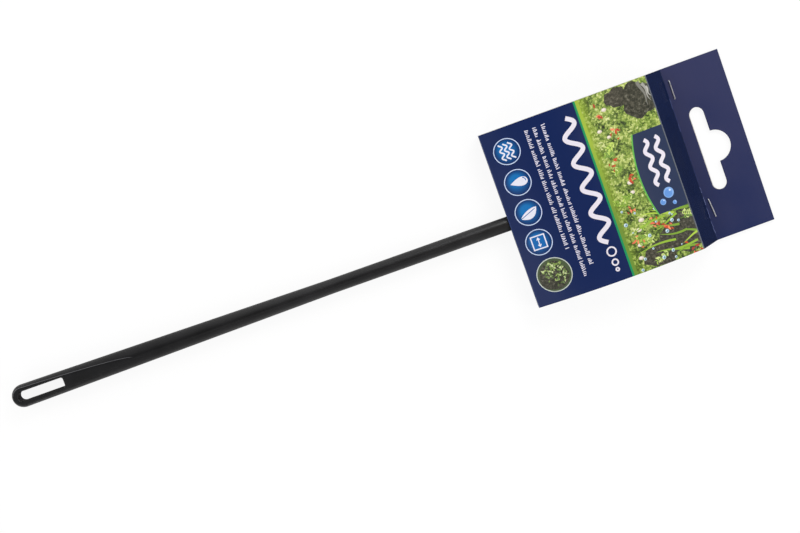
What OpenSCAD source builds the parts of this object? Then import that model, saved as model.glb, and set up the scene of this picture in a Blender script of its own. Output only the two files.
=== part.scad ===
// Aquarium fish net in its hanging card, lying flat.
// +X runs along the handle from its hanging loop to the card's header, +Z is up,
// and the origin is the middle of the whole object's footprint, on the surface it lies on.

/* [Handle] */
// Length of the handle that shows, from its looped tip to the card
handle_out = 254; // [180:0.1:320]
// Diameter of the round neck
neck_d = 7.2; // [6.6:0.1:8]
// Width of the paddle at its tip
tip_w = 11.4; // [10:0.1:13]
// Length over which the tip tapers to the neck
taper_len = 163; // [120:1:175]
// Thickness of the paddle at its tip
tip_t = 6.9; // [6:0.1:8]
// Length of the two sloping flats, from the tip to where they run out into the round rod
flat_len = 62; // [50:1:75]
// Length of the hanging loop's slot
loop_len = 23.3; // [14:0.1:30]
// Width of the hanging loop's slot
loop_w = 4.9; // [4:0.1:5.4]
// Rim left between the slot and the tip
loop_rim = 3.5; // [2.5:0.1:6]
// Corner radius at the squared end of the slot
loop_corner = 1; // [0.4:0.1:1.8]
// How deep the hoop's wire ends sit in the neck
socket_len = 14; // [8:1:20]

/* [Hoop] */
// Width of the hoop over its coating
hoop_w = 80; // [65:0.5:85]
// Length of the hoop over its coating
hoop_len = 76; // [62:0.5:85]
// Radius of the hoop's corners, at the middle of the wire
hoop_corner = 15; // [11:0.5:20]
// Diameter of the steel wire
wire_d = 2; // [1.6:0.1:2.2]
// Outer diameter of the plastic coating
coat_d = 3; // [2.6:0.1:3.2]
// Room between the two coated wire ends where they leave the neck
tail_room = 0.5; // [0.3:0.1:0.8]
// Bend radius where the wire turns out of the neck
neck_bend = 4.5; // [3:0.1:6]
// Straight wire between the neck and the bend
tail_out = 2; // [1:0.1:3]

/* [Hem and bag] */
// Thickness of the hem tape
tape_t = 0.45; // [0.3:0.05:0.5]
// Width of the sewn strip inside the hoop
strip_w = 8; // [6:0.5:9]
// Length of one hem stitch
stitch_len = 2.6; // [1.5:0.1:3.5]
// Thickness of the sewing thread
thread_d = 0.4; // [0.25:0.05:0.5]
// Distance from one stitch to the next
stitch_pitch = 4.2; // [4:0.1:6]
// Width of the ring of pleats in the folded bag
pleat_w = 14; // [8:1:18]
// Thickness of the bag's floor under the ring of pleats
floor_t = 0.7; // [0.4:0.1:0.9]
// Width of the sewn side seams
seam_w = 1.6; // [1:0.1:2.5]
// Height of the sewn side seams above the pleats
seam_t = 0.4; // [0.2:0.05:0.6]

/* [Card] */
// Room between the hem and the card's two open sides
side_room = 3.5; // [3.5:0.1:11]
// Thickness of the board
card_t = 0.4; // [0.3:0.05:0.5]
// Room between the hem and the roof's crease
front_room = 1.2; // [1:0.1:12]
// Length of the sloping roof, seen from above
roof_len = 10.3; // [8:0.1:14]
// Length of the header
header_len = 29.7; // [27:0.1:36]
// Height of the spine above its window
spine_over = 1; // [0.8:0.1:3]
// Height of the window above the neck
window_over = 0.5; // [0.2:0.1:1]
// Height of the roof's crease above the spine
crest_rise = 3.6; // [1:0.1:5]
// How far the front panel arches above a straight line
front_rise = 6.2; // [3:0.1:8]
// Room beside the paddle in the spine's window, when the net is drawn out through it
window_room = 1; // [0.5:0.1:2.5]
// Corner radius of that window
window_corner = 2; // [0.5:0.1:3]

/* [Hanging slot] */
// Length of the slot across the header
slot_len = 42; // [34:0.5:50]
// Width of the slot
slot_w = 7.4; // [6.5:0.1:8]
// Distance from the header's crease to the slot
slot_in = 6.3; // [5:0.1:7]
// Radius of the round middle of the slot
hump_r = 7.8; // [6:0.1:9]
// How far the two layers' slots are out of line
slot_slip = 0.4; // [0:0.1:0.8]

/* [Staples] */
// Width of a staple over its legs
staple_w = 9.7; // [8:0.1:12]
// Diameter of the staple wire
staple_d = 0.55; // [0.4:0.05:0.6]
// Bend radius of the staple, at the middle of the wire
staple_bend = 0.45; // [0.4:0.05:0.5]
// Length of each leg's straight end under the card
clinch_len = 2.8; // [1.5:0.1:3]
// Distance from the header's crease to a staple
staple_in = 2.5; // [1.5:0.1:3]
// Distance from the card's upper side to the middle of the upper staple
upper_in = 11.2; // [8:0.1:15]
// Distance from the card's lower side to the middle of the lower staple
lower_in = 15.9; // [8:0.1:17]
// Angle by which the lower staple is askew
lower_turn = 5; // [-8:1:8]

/* [Placement] */
// Angle by which the card sits askew on the net
card_turn = 0.53; // [0:0.01:1.2]
// Distance from the handle's axis to the card's middle line, at the spine
card_shift = 0.83; // [0:0.01:1]
// Length of the neck inside the card
neck_in = 1.5; // [1:0.1:3]

/* [Hidden] */
$fn = 64;
// Radial room round a wire in its bore, and round the coating in its hem
fit = 0.05;
// Room left between loose layers that lie on each other
lay = 0.1;
// Room between the folded bag and the card under it
under_bag = 0.3;
// Room between the panels at a crease
crease = 0.05;
// Radial room round a staple leg in its hole
leg_room = 0.13;
// Extra length of the tools that cut, past the faces they cut
over = 1;
// Part of the strip's width between its outer edge and the row of stitches
stitch_share = 0.55;
// Angles of the stitches in each corner of the hem
corner_turns = [22.5, 67.5];
// Least corner radius of the pit in the folded bag
pit_corner = 1;
// Room between the end of a seam and the edge of that pit
seam_room = 0.4;

rod_r = (tip_w - (tip_w - neck_d) * flat_len / taper_len) / 2;
flat_rise = (rod_r - tip_t / 2) / flat_len;
axis_z = rod_r;
handle_len = handle_out + neck_in;
tail_y = (coat_d + tail_room) / 2;
mid_w = hoop_w - coat_d;
mid_len = hoop_len - coat_d;
hoop_x = neck_in + tail_out + neck_bend;
bend_y = tail_y + neck_bend;
hem_in = coat_d / 2 + fit;
hem_r = hem_in + tape_t;
strip_t = 2 * tape_t;
strip_z = axis_z - hem_r;
stitch_y = strip_w * stitch_share;
bag_z = card_t + under_bag;
bag_t = strip_z - bag_z;

card_w = mid_w + 2 * (hem_r + side_room);
front_len = hoop_x + mid_len + hem_r + front_room;
header_x = front_len + roof_len;
card_len = header_x + header_len;
lift = staple_d + lay;
header_z = lift + card_t + lay;
window_w = tip_w + 2 * window_room;
window_top = axis_z + neck_d / 2 + window_over;
spine_h = window_top + spine_over;
crest_h = spine_h + crest_rise;
upper_y = card_w / 2 - upper_in;
lower_y = lower_in - card_w / 2;
front_run = norm([front_len, crest_h - spine_h]);
front_tilt = atan2(crest_h - spine_h, front_len);
arch_r = pow(front_run, 2) / (8 * front_rise) + front_rise / 2;
arch_half = asin(front_run / 2 / arch_r);
arch_x = front_len / 2 + (arch_r - front_rise) * sin(front_tilt);
arch_z = (spine_h + crest_h) / 2 - (arch_r - front_rise) * cos(front_tilt);
crest_turn = arch_half - front_tilt;

// Corners of the card round the handle's axis, and the middle of the whole footprint
card_corners = [for (x = [0, card_len], y = [-card_w / 2, card_w / 2])
    [x * cos(card_turn) - (y + card_shift) * sin(card_turn),
     x * sin(card_turn) + (y + card_shift) * cos(card_turn)]];
mid_x = (max([for (c = card_corners) c[0]]) - handle_out) / 2;
mid_y = (max([for (c = card_corners) c[1]]) + min([for (c = card_corners) c[1]])) / 2;

// Moves a piece of the net from the place where the handle enters the card
module on_net() {
    translate([-mid_x, -mid_y, 0]) children();
}

// Moves a piece of the card, which sits askew round the handle
module on_card() {
    on_net() rotate([0, 0, card_turn]) translate([0, card_shift, 0]) children();
}

// A flat outline in length and height, drawn out evenly to both sides
module across_card(w = card_w) {
    translate([0, w / 2, 0]) rotate([90, 0, 0]) linear_extrude(w) children();
}

// A section carried along +Y, with its own x outwards and its own y up
module run(length) {
    translate([0, length, 0]) rotate([90, 0, 0]) linear_extrude(length) children();
}

// A section carried through a quarter turn round a centre, from +X to +Y
module quarter(radius) {
    rotate_extrude(angle = 90) translate([radius, 0]) children();
}

// A section carried round one side of the hoop, from the neck to the middle of the far side
module half_hoop(near_y) {
    far_x = mid_len - hoop_corner;
    side_y = mid_w / 2 - hoop_corner;
    translate([mid_len, 0, 0]) run(side_y) children();
    translate([far_x, side_y, 0]) quarter(hoop_corner) children();
    translate([far_x, mid_w / 2, 0]) rotate([0, 0, 90]) run(far_x - hoop_corner) children();
    translate([hoop_corner, side_y, 0]) rotate([0, 0, 90]) quarter(hoop_corner) children();
    translate([0, side_y, 0]) rotate([0, 0, 180]) run(side_y - near_y) children();
}

// The wire's own route: half the hoop, the bend at the neck and the tail
module half_wire(tail) {
    translate([hoop_x, 0, 0]) half_hoop(bend_y) children();
    translate([hoop_x - neck_bend, bend_y, 0]) rotate([0, 0, -90])
        rotate_extrude(angle = 90) translate([neck_bend, 0]) rotate([0, 0, 180]) children();
    translate([hoop_x - neck_bend, tail_y, 0]) rotate([0, 0, 90]) run(tail_out + tail) children();
}

// Both halves of something on the hoop, at the height of the handle's axis
module both_halves() {
    on_net() translate([0, 0, axis_z]) {
        children();
        mirror([0, 1, 0]) children();
    }
}

module loop_slot() {
    translate([loop_w / 2, 0]) circle(d = loop_w);
    translate([loop_w / 2, -loop_w / 2]) square([loop_len - loop_w / 2 - loop_corner, loop_w]);
    translate([loop_len - loop_corner - over / 2, loop_corner - loop_w / 2])
        square([loop_corner + over / 2, loop_w - 2 * loop_corner]);
    for (s = [-1, 1])
        translate([loop_len - loop_corner, s * (loop_w / 2 - loop_corner)]) circle(loop_corner);
}

// The paddle's thickness seen from its side: it grows evenly until the flats run out
module flats_side() {
    far = tip_t / 2 + flat_rise * (handle_len + over);
    polygon([
        [0, -tip_t / 2], [handle_len + over, -far], [handle_len + over, far], [0, tip_t / 2]
    ]);
}

module handle() {
    color("#26262a")
    on_net() translate([-handle_out, 0, axis_z]) difference() {
        intersection() {
            rotate([0, 90, 0]) union() {
                cylinder(d1 = tip_w, d2 = neck_d, h = taper_len);
                translate([0, 0, taper_len]) cylinder(d = neck_d, h = handle_len - taper_len);
            }
            translate([0, 0, -tip_w]) linear_extrude(2 * tip_w) {
                translate([tip_w / 2, 0]) circle(d = tip_w);
                translate([tip_w / 2, -tip_w / 2]) square([handle_len - tip_w / 2, tip_w]);
            }
            across_card(2 * tip_w) flats_side();
        }
        translate([loop_rim, 0, -tip_w / 2 - over]) linear_extrude(tip_w + 2 * over) loop_slot();
        for (s = [-1, 1])
            translate([handle_len - socket_len - fit, s * tail_y, 0]) rotate([0, 90, 0])
                cylinder(d = wire_d + 2 * fit, h = socket_len + fit + over);
    }
}

module hoop_wire() {
    color("#b9bcc0")
    both_halves() half_wire(socket_len) circle(d = wire_d);
}

module hoop_coating() {
    color("#1d1e20")
    both_halves() half_wire(-lay) difference() {
        circle(d = coat_d);
        circle(d = wire_d + fit);
    }
}

// The tape's section: a sleeve round the coating and a flat strip to its inside
module hem_section() {
    difference() {
        union() {
            circle(hem_r);
            translate([-strip_w, -hem_r]) square([strip_w, strip_t]);
        }
        circle(hem_in);
    }
}

module hem_band() {
    color("#202124")
    both_halves() translate([hoop_x, 0, 0]) half_hoop(bend_y + lay) hem_section();
}

// One stitch on the strip, its length along +Y
module stitch() {
    translate([-thread_d / 2, -stitch_len / 2, 0]) cube([thread_d, stitch_len, thread_d]);
}

// A straight row of stitches along +Y, centred in its length
module stitch_row(length) {
    count = floor((length - stitch_len) / stitch_pitch) + 1;
    for (i = [0 : count - 1])
        translate([0, length / 2 + (i - (count - 1) / 2) * stitch_pitch, 0]) stitch();
}

module hem_stitching() {
    far_x = mid_len - hoop_corner;
    side_y = mid_w / 2 - hoop_corner;
    turn_r = hoop_corner - stitch_y;
    color("#3a3b40")
    both_halves() translate([hoop_x, 0, strip_t - hem_r]) {
        translate([mid_len - stitch_y, 0, 0]) stitch_row(side_y);
        translate([far_x, mid_w / 2 - stitch_y, 0]) rotate([0, 0, 90])
            stitch_row(far_x - hoop_corner);
        translate([stitch_y, bend_y + lay, 0]) stitch_row(side_y - bend_y - lay);
        for (corner = [[far_x, 0], [hoop_corner, 90]], a = corner_turns)
            translate([corner[0], side_y, 0]) rotate([0, 0, corner[1] + a])
                translate([turn_r, 0, 0]) stitch();
    }
}

// A flat rounded plate that fills the hoop, drawn in by the same distance all round
module hoop_plate(inset) {
    r = max(hoop_corner - inset, pit_corner);
    far = mid_len - inset;
    half = mid_w / 2 - inset;
    translate([inset, r - half]) square([far - inset, 2 * (half - r)]);
    translate([inset + r, -half]) square([far - inset - 2 * r, 2 * half]);
    for (x = [inset + r, far - r], y = [r - half, half - r]) translate([x, y]) circle(r);
}

module net_bag() {
    color("#2a2d2c")
    on_net() translate([hoop_x, 0, bag_z]) difference() {
        linear_extrude(bag_t) hoop_plate(0);
        translate([0, 0, floor_t]) linear_extrude(bag_t) hoop_plate(strip_w + pleat_w);
    }
}

// A sewn seam on the pleats, from the strip to the floor of the bag
module bag_seam() {
    color("#1b1c1e")
    on_net() translate([hoop_x + mid_len / 2 - seam_w / 2, 0, strip_z]) children();
}

module seam_bar() {
    translate([0, mid_w / 2 - strip_w - pleat_w, 0]) cube([seam_w, pleat_w - seam_room, seam_t]);
}

module bag_seam_left() {
    bag_seam() seam_bar();
}

module bag_seam_right() {
    bag_seam() mirror([0, 1, 0]) seam_bar();
}

module card_back_panel() {
    color("#1f2d5c")
    on_card() translate([0, -card_w / 2, 0]) cube([front_len, card_w, card_t]);
}

module card_spine() {
    half = window_w / 2 - window_corner;
    rise = window_top - card_t;
    color("#1f2d5c")
    on_card() difference() {
        translate([0, -card_w / 2, card_t]) cube([card_t, card_w, spine_h - 2 * card_t - crease]);
        translate([-over, 0, 0]) rotate([90, 0, 90]) linear_extrude(card_t + 2 * over) {
            translate([-window_w / 2, card_t - over])
                square([window_w, rise + over - window_corner]);
            translate([-half, card_t - over]) square([2 * half, rise + over]);
            for (s = [-1, 1]) translate([s * half, window_top - window_corner])
                circle(window_corner);
        }
    }
}

// The hanging slot: a long slot with round ends and a round hump on its outer side
module hanging_slot() {
    end_y = (slot_len - slot_w) / 2;
    translate([slot_in, -end_y]) square([slot_w, 2 * end_y]);
    for (s = [-1, 1]) translate([slot_in + slot_w / 2, s * end_y]) circle(d = slot_w);
    translate([slot_in + slot_w, 0]) circle(hump_r);
}

// Places something at both legs of a staple, along the staple's own +Y
module at_legs() {
    leg = (staple_w - staple_d) / 2;
    for (s = [-1, 1]) translate([0, s * leg, 0]) children();
}

module at_staple(y, turn) {
    translate([header_x + staple_in, y, 0]) rotate([0, 0, turn]) children();
}

// What both header layers are cut by
module header_cuts(slip) {
    depth = header_z + card_t + 2 * over;
    translate([header_x + slip, 0, -over]) linear_extrude(depth) hanging_slot();
    for (place = [[upper_y, 0], [lower_y, lower_turn]])
        at_staple(place[0], place[1]) at_legs()
            translate([0, 0, -over]) cylinder(r = staple_d / 2 + leg_room, h = depth);
}

module card_header_back() {
    color("#1f2d5c")
    on_card() difference() {
        across_card() polygon([
            [front_len, 0], [header_x, lift], [card_len, lift],
            [card_len, lift + card_t], [header_x, lift + card_t], [front_len, card_t]
        ]);
        header_cuts(slot_slip);
    }
}

module card_front_panel() {
    far = arch_r + over;
    color("#1f2d5c")
    on_card() across_card() translate([arch_x, arch_z]) rotate([0, 0, front_tilt])
        intersection() {
            difference() {
                circle(arch_r, $fn = 720);
                circle(arch_r - card_t, $fn = 720);
            }
            polygon([[0, 0], [-far * tan(arch_half), far], [far * tan(arch_half), far]]);
        }
}

// The roof's two faces both start at the end of the front panel and end on the header
module card_roof() {
    drop = crest_h - header_z - card_t;
    slope = atan2(drop, roof_len);
    bend = slope - crest_turn;
    start = [crease * cos(slope), -crease * sin(slope)];
    inside = card_t / cos(bend);
    color("#182244")
    on_card() across_card() polygon([
        [front_len + start[0], crest_h + start[1]],
        [header_x, header_z + card_t],
        [header_x, header_z],
        [header_x - card_t * tan(slope / 2), header_z],
        [front_len + start[0] - inside * sin(crest_turn),
         crest_h + start[1] - inside * cos(crest_turn)]
    ]);
}

module card_header_front() {
    color("#2b3866")
    on_card() difference() {
        translate([header_x, -card_w / 2, header_z]) cube([header_len, card_w, card_t]);
        header_cuts(0);
    }
}

// Half a staple: crown, bend, leg, bend and folded end, with the crown's middle at the origin
module half_staple() {
    leg = (staple_w - staple_d) / 2;
    high = header_z + card_t + lay / 2 + staple_d / 2;
    low = lift - lay / 2 - staple_d / 2;
    turn_y = leg - staple_bend;
    module bend_at(z, turn)
        translate([0, turn_y, z]) rotate([90, 0, 90]) rotate([0, 0, turn])
            rotate_extrude(angle = 90) translate([staple_bend, 0]) circle(d = staple_d);
    translate([0, 0, high]) rotate([-90, 0, 0]) cylinder(d = staple_d, h = turn_y);
    bend_at(high - staple_bend, 0);
    translate([0, leg, low + staple_bend])
        cylinder(d = staple_d, h = high - low - 2 * staple_bend);
    bend_at(low + staple_bend, -90);
    translate([0, turn_y - clinch_len, low]) rotate([-90, 0, 0])
        cylinder(d = staple_d, h = clinch_len);
}

module staple(y, turn) {
    color("#aeb2b8")
    on_card() at_staple(y, turn) {
        half_staple();
        mirror([0, 1, 0]) half_staple();
    }
}

module staple_upper() {
    staple(upper_y, 0);
}

module staple_lower() {
    staple(lower_y, lower_turn);
}

handle();
hoop_wire();
hoop_coating();
hem_band();
hem_stitching();
net_bag();
bag_seam_left();
bag_seam_right();
card_back_panel();
card_spine();
card_header_back();
card_front_panel();
card_roof();
card_header_front();
staple_upper();
staple_lower();
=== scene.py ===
"""Looks of an aquarium fish net whose head is packed in a folded and stapled hanging card.

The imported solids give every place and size. Sizes here are in millimetres, as in the part's
source, and a mesh is turned to metres when it is made. Two sets of axes are used besides the
shared ones: the net's, which start where the handle enters the card, and the card's, which
start at the foot of the spine and sit slightly askew round the handle.
"""

import logging
import math
from dataclasses import dataclass, field
from enum import Enum

import bpy
import bmesh
import numpy as np
from bpy.types import Material, Mesh, Node, NodeSocket, NodeTree, Object
from mathutils import Matrix, Vector
from mathutils.geometry import delaunay_2d_cdt


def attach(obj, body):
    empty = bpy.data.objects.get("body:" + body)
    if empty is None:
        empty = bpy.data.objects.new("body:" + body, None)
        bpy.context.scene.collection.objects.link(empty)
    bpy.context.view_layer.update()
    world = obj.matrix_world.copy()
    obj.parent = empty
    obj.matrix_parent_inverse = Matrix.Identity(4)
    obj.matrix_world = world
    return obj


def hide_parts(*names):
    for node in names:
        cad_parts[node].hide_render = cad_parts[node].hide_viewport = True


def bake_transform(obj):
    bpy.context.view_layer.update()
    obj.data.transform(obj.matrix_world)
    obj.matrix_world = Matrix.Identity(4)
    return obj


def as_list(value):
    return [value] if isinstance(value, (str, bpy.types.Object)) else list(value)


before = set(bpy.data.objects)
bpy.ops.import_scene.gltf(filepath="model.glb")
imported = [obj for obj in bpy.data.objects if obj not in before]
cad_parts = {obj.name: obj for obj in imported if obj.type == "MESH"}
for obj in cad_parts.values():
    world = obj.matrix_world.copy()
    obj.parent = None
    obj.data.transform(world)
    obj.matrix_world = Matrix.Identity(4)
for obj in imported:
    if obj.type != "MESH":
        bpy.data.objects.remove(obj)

log = logging.getLogger("fish_net")
MM = 0.001
TURN = 2 * math.pi
QUARTER = math.pi / 2
Array = np.ndarray
WEAVE_MAP = "Surface"


class Body(Enum):
    """The bodies that move apart."""

    NET = "net"
    CARD = "card"
    FLAP = "flap"
    HEADER = "header_flap"


class Grain(Enum):
    """What a printed area shows: plain ink, or one of two printed textures."""

    PLAIN = 0
    MOSS = 1
    STONE = 2


def linear(code: str) -> tuple[float, float, float, float]:
    """The linear colour, with an alpha of 1, of six sRGB hex digits."""
    parts = [int(code[i : i + 2], 16) / 255 for i in (0, 2, 4)]
    return (*[p / 12.92 if p <= 0.04045 else ((p + 0.055) / 1.055) ** 2.4 for p in parts], 1.0)


def between(first: str, last: str, share: float) -> str:
    """The sRGB hex colour that is a share of the way from one to another."""
    pairs = [(int(first[i : i + 2], 16), int(last[i : i + 2], 16)) for i in (0, 2, 4)]
    return "".join(f"{round(a + (b - a) * share):02x}" for a, b in pairs)


def stack(*parts: Array | float) -> Array:
    """Coordinates brought together: the last axis counts x, y and z."""
    return np.stack(np.broadcast_arrays(*parts), -1)


def ray(angle: Array | float) -> Array:
    """Directions in a plane at angles in radians."""
    return stack(np.cos(angle), np.sin(angle))


def turned(points: Array, angle: float) -> Array:
    """Plane points turned about the origin by an angle in radians."""
    (c, s), x, y = ray(angle), points[..., 0], points[..., 1]
    return stack(x * c - y * s, x * s + y * c)


def travel(path: Array) -> Array:
    """Distance along a path to each of its points."""
    return np.append(0.0, np.cumsum(np.linalg.norm(np.diff(path, axis=0), axis=1)))


@dataclass(frozen=True)
class Placement:
    """Where the net and the card lie in the shared frame."""

    handle_out: float = 254.0
    card_len: float = 124.2
    card_w: float = 88.0
    turn: float = math.radians(0.53)
    shift: float = 0.83

    def askew(self, points: Array) -> Array:
        """Turns and shifts card points into the net's axes."""
        plan = turned(points[..., :2] + [0.0, self.shift], self.turn)
        return np.concatenate([plan, points[..., 2:]], -1)

    def net(self, points: Array) -> Array:
        """Puts net points into the shared frame: the footprint's middle becomes the origin.

        Args:
            points: Points on the net's axes, in millimetres.

        Returns:
            The same points in the shared frame.
        """
        half = self.card_w / 2
        ends = np.array([[x, y, 0.0] for x in (0, self.card_len) for y in (-half, half)])
        x, y, _ = self.askew(ends).T
        middle = [(x.max() - self.handle_out) / 2, (y.max() + y.min()) / 2, 0.0]
        return np.asarray(points, float) - middle

    def card(self, points: Array) -> Array:
        """Card points in the shared frame."""
        return self.net(self.askew(np.asarray(points, float)))


PLACE = Placement()


def new_mesh(name: str, points: Array, loops: Array, starts: Array,
             slots: Array, uv: Array) -> Mesh:
    """Makes a smooth mesh in metres.

    Args:
        name: Its name.
        points: Corners in millimetres.
        loops: The corner numbers of all faces in a row.
        starts: Where each face begins in that row.
        slots: Each face's material index.
        uv: The surface's own coordinates, one pair for each entry of loops.

    Returns:
        The mesh.
    """
    mesh = bpy.data.meshes.new(name)
    mesh.vertices.add(len(points))
    mesh.vertices.foreach_set("co", (points * MM).astype(np.float32).ravel())
    mesh.loops.add(len(loops))
    mesh.loops.foreach_set("vertex_index", loops.astype(np.int32))
    mesh.polygons.add(len(starts))
    mesh.polygons.foreach_set("loop_start", starts.astype(np.int32))
    mesh.polygons.foreach_set("material_index", slots.astype(np.int32))
    mesh.update(calc_edges=True)
    mesh.uv_layers.new(name=WEAVE_MAP).data.foreach_set("uv", uv.astype(np.float32).ravel())
    mesh.polygons.foreach_set("use_smooth", np.ones(len(starts), bool))
    return mesh


def show(name: str, mesh: Mesh, finishes: list[Material]) -> Object:
    """Puts a mesh into the scene at the origin, and logs the piece.

    Args:
        name: The piece's name.
        mesh: Its mesh.
        finishes: Its materials, in order.

    Returns:
        The object.
    """
    for finish in finishes:
        mesh.materials.append(finish)
    made = bpy.data.objects.new(name, mesh)
    bpy.context.scene.collection.objects.link(made)
    log.info("built %s: %d faces", name, len(mesh.polygons))
    return made


def dress(node: str, finish: Material) -> None:
    """Gives a carried-over node its finish.

    Args:
        node: The node's name.
        finish: Its material.
    """
    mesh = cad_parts[node].data
    mesh.materials.clear()
    mesh.materials.append(finish)
    log.info("dressed %s with %s", node, finish.name)


@dataclass
class Shell:
    """Patches of surface in millimetres that are joined into one mesh."""

    patches: list[Array] = field(default_factory=list)
    quads: list[Array] = field(default_factory=list)
    slots: list[Array] = field(default_factory=list)
    maps: list[Array] = field(default_factory=list)
    count: int = 0

    def grid(self, points: Array, wrap: tuple[bool, bool] = (False, False), finish: int = 0,
             flip: bool = False, uv: Array | None = None) -> None:
        """Adds a grid of points, with a quad between each four neighbours.

        Args:
            points: Rows by columns by 3. Faces look along rows x columns.
            wrap: Whether the last row or column meets the first again.
            finish: Index of the material.
            flip: Turns the faces over.
            uv: Rows by columns by 2, the surface's own coordinates.
        """
        rows, cols = points.shape[:2]
        index = np.arange(rows * cols).reshape(rows, cols) + self.count
        if wrap[0]:
            index = np.vstack([index, index[:1]])
        if wrap[1]:
            index = np.hstack([index, index[:, :1]])
        quad = np.stack([index[:-1, :-1], index[1:, :-1], index[1:, 1:], index[:-1, 1:]], -1)
        quad = quad.reshape(-1, 4)
        self.patches.append(points.reshape(-1, 3))
        self.maps.append(np.zeros((rows * cols, 2)) if uv is None else uv.reshape(-1, 2))
        self.quads.append(quad[:, ::-1] if flip else quad)
        self.slots.append(np.full(len(quad), finish))
        self.count += rows * cols

    def piece(self, name: str, finishes: list[Material], sharp: float | None = 40.0,
              outward: bool = True) -> Object:
        """Joins the patches, closes their seams and makes the object.

        Points closer than a tenth of a micrometre are welded, and a quad that this pinches
        becomes a triangle.

        Args:
            name: The piece's name.
            finishes: Its materials, in the order of the patches' indices.
            sharp: Angle in degrees past which an edge stays hard, or None for none.
            outward: Turns each closed shell's faces outwards.

        Returns:
            The object.
        """
        points, uv = np.vstack(self.patches), np.vstack(self.maps)
        quads, slots = np.vstack(self.quads), np.concatenate(self.slots)
        _, first, index = np.unique(np.round(points, 4), axis=0, return_index=True,
                                    return_inverse=True)
        index = index.reshape(-1)
        same = index[quads] == np.roll(index[quads], -1, 1)
        whole, pinched = ~same.any(1), same.sum(1) == 1
        keep = np.sort(np.argsort(same[pinched], axis=1, kind="stable")[:, :3], axis=1)
        tris = np.take_along_axis(quads[pinched], keep, 1)
        good = (index[tris] != np.roll(index[tris], -1, 1)).all(1)
        slots = np.concatenate([slots[whole], slots[pinched][good]])
        quads, tris = quads[whole], tris[good]
        loops = np.concatenate([quads.ravel(), tris.ravel()])
        starts = np.cumsum([0] + [4] * len(quads) + [3] * len(tris))[:-1]
        mesh = new_mesh(name, points[first], index[loops], starts, slots, uv[loops])
        if outward:
            edit = bmesh.new()
            edit.from_mesh(mesh)
            bmesh.ops.recalc_face_normals(edit, faces=edit.faces)
            edit.to_mesh(mesh)
            edit.free()
        if sharp is not None:
            mesh.set_sharp_from_angle(angle=math.radians(sharp))
        return show(name, mesh, finishes)


def tube(path: Array, side: Array, radius: Array | float, rings: int = 8,
         flat: float = 1.0) -> Array:
    """Carries an ellipse along paths.

    At each point the tangent T and the given side S give the up direction U = T x S, and the
    ring is centre + r (S cos a + flat U sin a).

    Args:
        path: Points, with the last two axes (along, 3); more axes in front make more tubes.
        side: The side direction, which broadcasts with path.
        radius: One radius, or one for each point.
        rings: Points round the ring.
        flat: Height of the ring as a share of its width.

    Returns:
        Points with axes (..., along, rings, 3).
    """
    tangent = np.gradient(path, axis=-2)
    up = np.cross(tangent, np.broadcast_to(side, path.shape))
    up /= np.maximum(np.linalg.norm(up, axis=-1, keepdims=True), 1e-9)
    across = np.cross(up, tangent)
    across /= np.maximum(np.linalg.norm(across, axis=-1, keepdims=True), 1e-9)
    turn = (np.arange(rings) * TURN / rings)[:, None]
    r = np.broadcast_to(np.asarray(radius, float), path.shape[:-1])[..., None, None]
    ring = across[..., None, :] * np.cos(turn) + flat * up[..., None, :] * np.sin(turn)
    return path[..., None, :] + r * ring


def closed_tube(shell: Shell, points: Array, finish: int = 0, along: float = 1.0) -> None:
    """Adds a tube with pinched ends to a shell.

    Args:
        shell: The shell that it goes into.
        points: Points with axes (along, rings, 3).
        finish: Index of the material.
        along: Length in millimetres, for the coordinates along the tube.
    """
    ends = [np.repeat(points[i].mean(0)[None, None], points.shape[1], 1) for i in (0, -1)]
    points = np.concatenate([ends[0], points, ends[1]])
    uv = stack(np.linspace(0, along, len(points))[:, None], np.linspace(0, 1, points.shape[1]))
    shell.grid(points, wrap=(False, True), finish=finish, uv=uv)


@dataclass
class Graph:
    """A material's or a world's node tree while it is built."""

    tree: NodeTree
    made: Material | None = None

    def fill(self, node: Node, inputs: dict) -> None:
        """Sets a node's inputs to values, or links them to sockets.

        Args:
            node: The node.
            inputs: A value, or the socket to link, for each named or numbered input.
        """
        for key, value in inputs.items():
            if isinstance(value, NodeSocket):
                self.tree.links.new(value, node.inputs[key])
            else:
                node.inputs[key].default_value = value

    def add(self, kind: str, inputs: dict | None = None, stops: dict | None = None,
            out: int | str = 0, **settings) -> NodeSocket:
        """Adds one node with its settings and links.

        Args:
            kind: The node's type, without ShaderNode.
            inputs: A value, or the socket to link, for each named or numbered input.
            stops: Hex colours of a colour ramp, by their places.
            out: The wanted output.
            settings: The node's own properties.

        Returns:
            The wanted output, whose node is the new one.
        """
        node = self.tree.nodes.new("ShaderNode" + kind)
        for key, value in settings.items():
            setattr(node, key, value)
        self.fill(node, inputs or {})
        if stops:
            ramp = node.color_ramp.elements
            while len(ramp) < len(stops):
                ramp.new(0.5)
            for element, (place, colour) in zip(ramp, stops.items()):
                element.position, element.color = place, linear(colour)
        return node.outputs[out]

    def give(self, inputs: dict) -> Material:
        """Fills the surface shader's inputs and returns the material."""
        self.fill(self.tree.nodes["Principled BSDF"], inputs)
        return self.made


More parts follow.
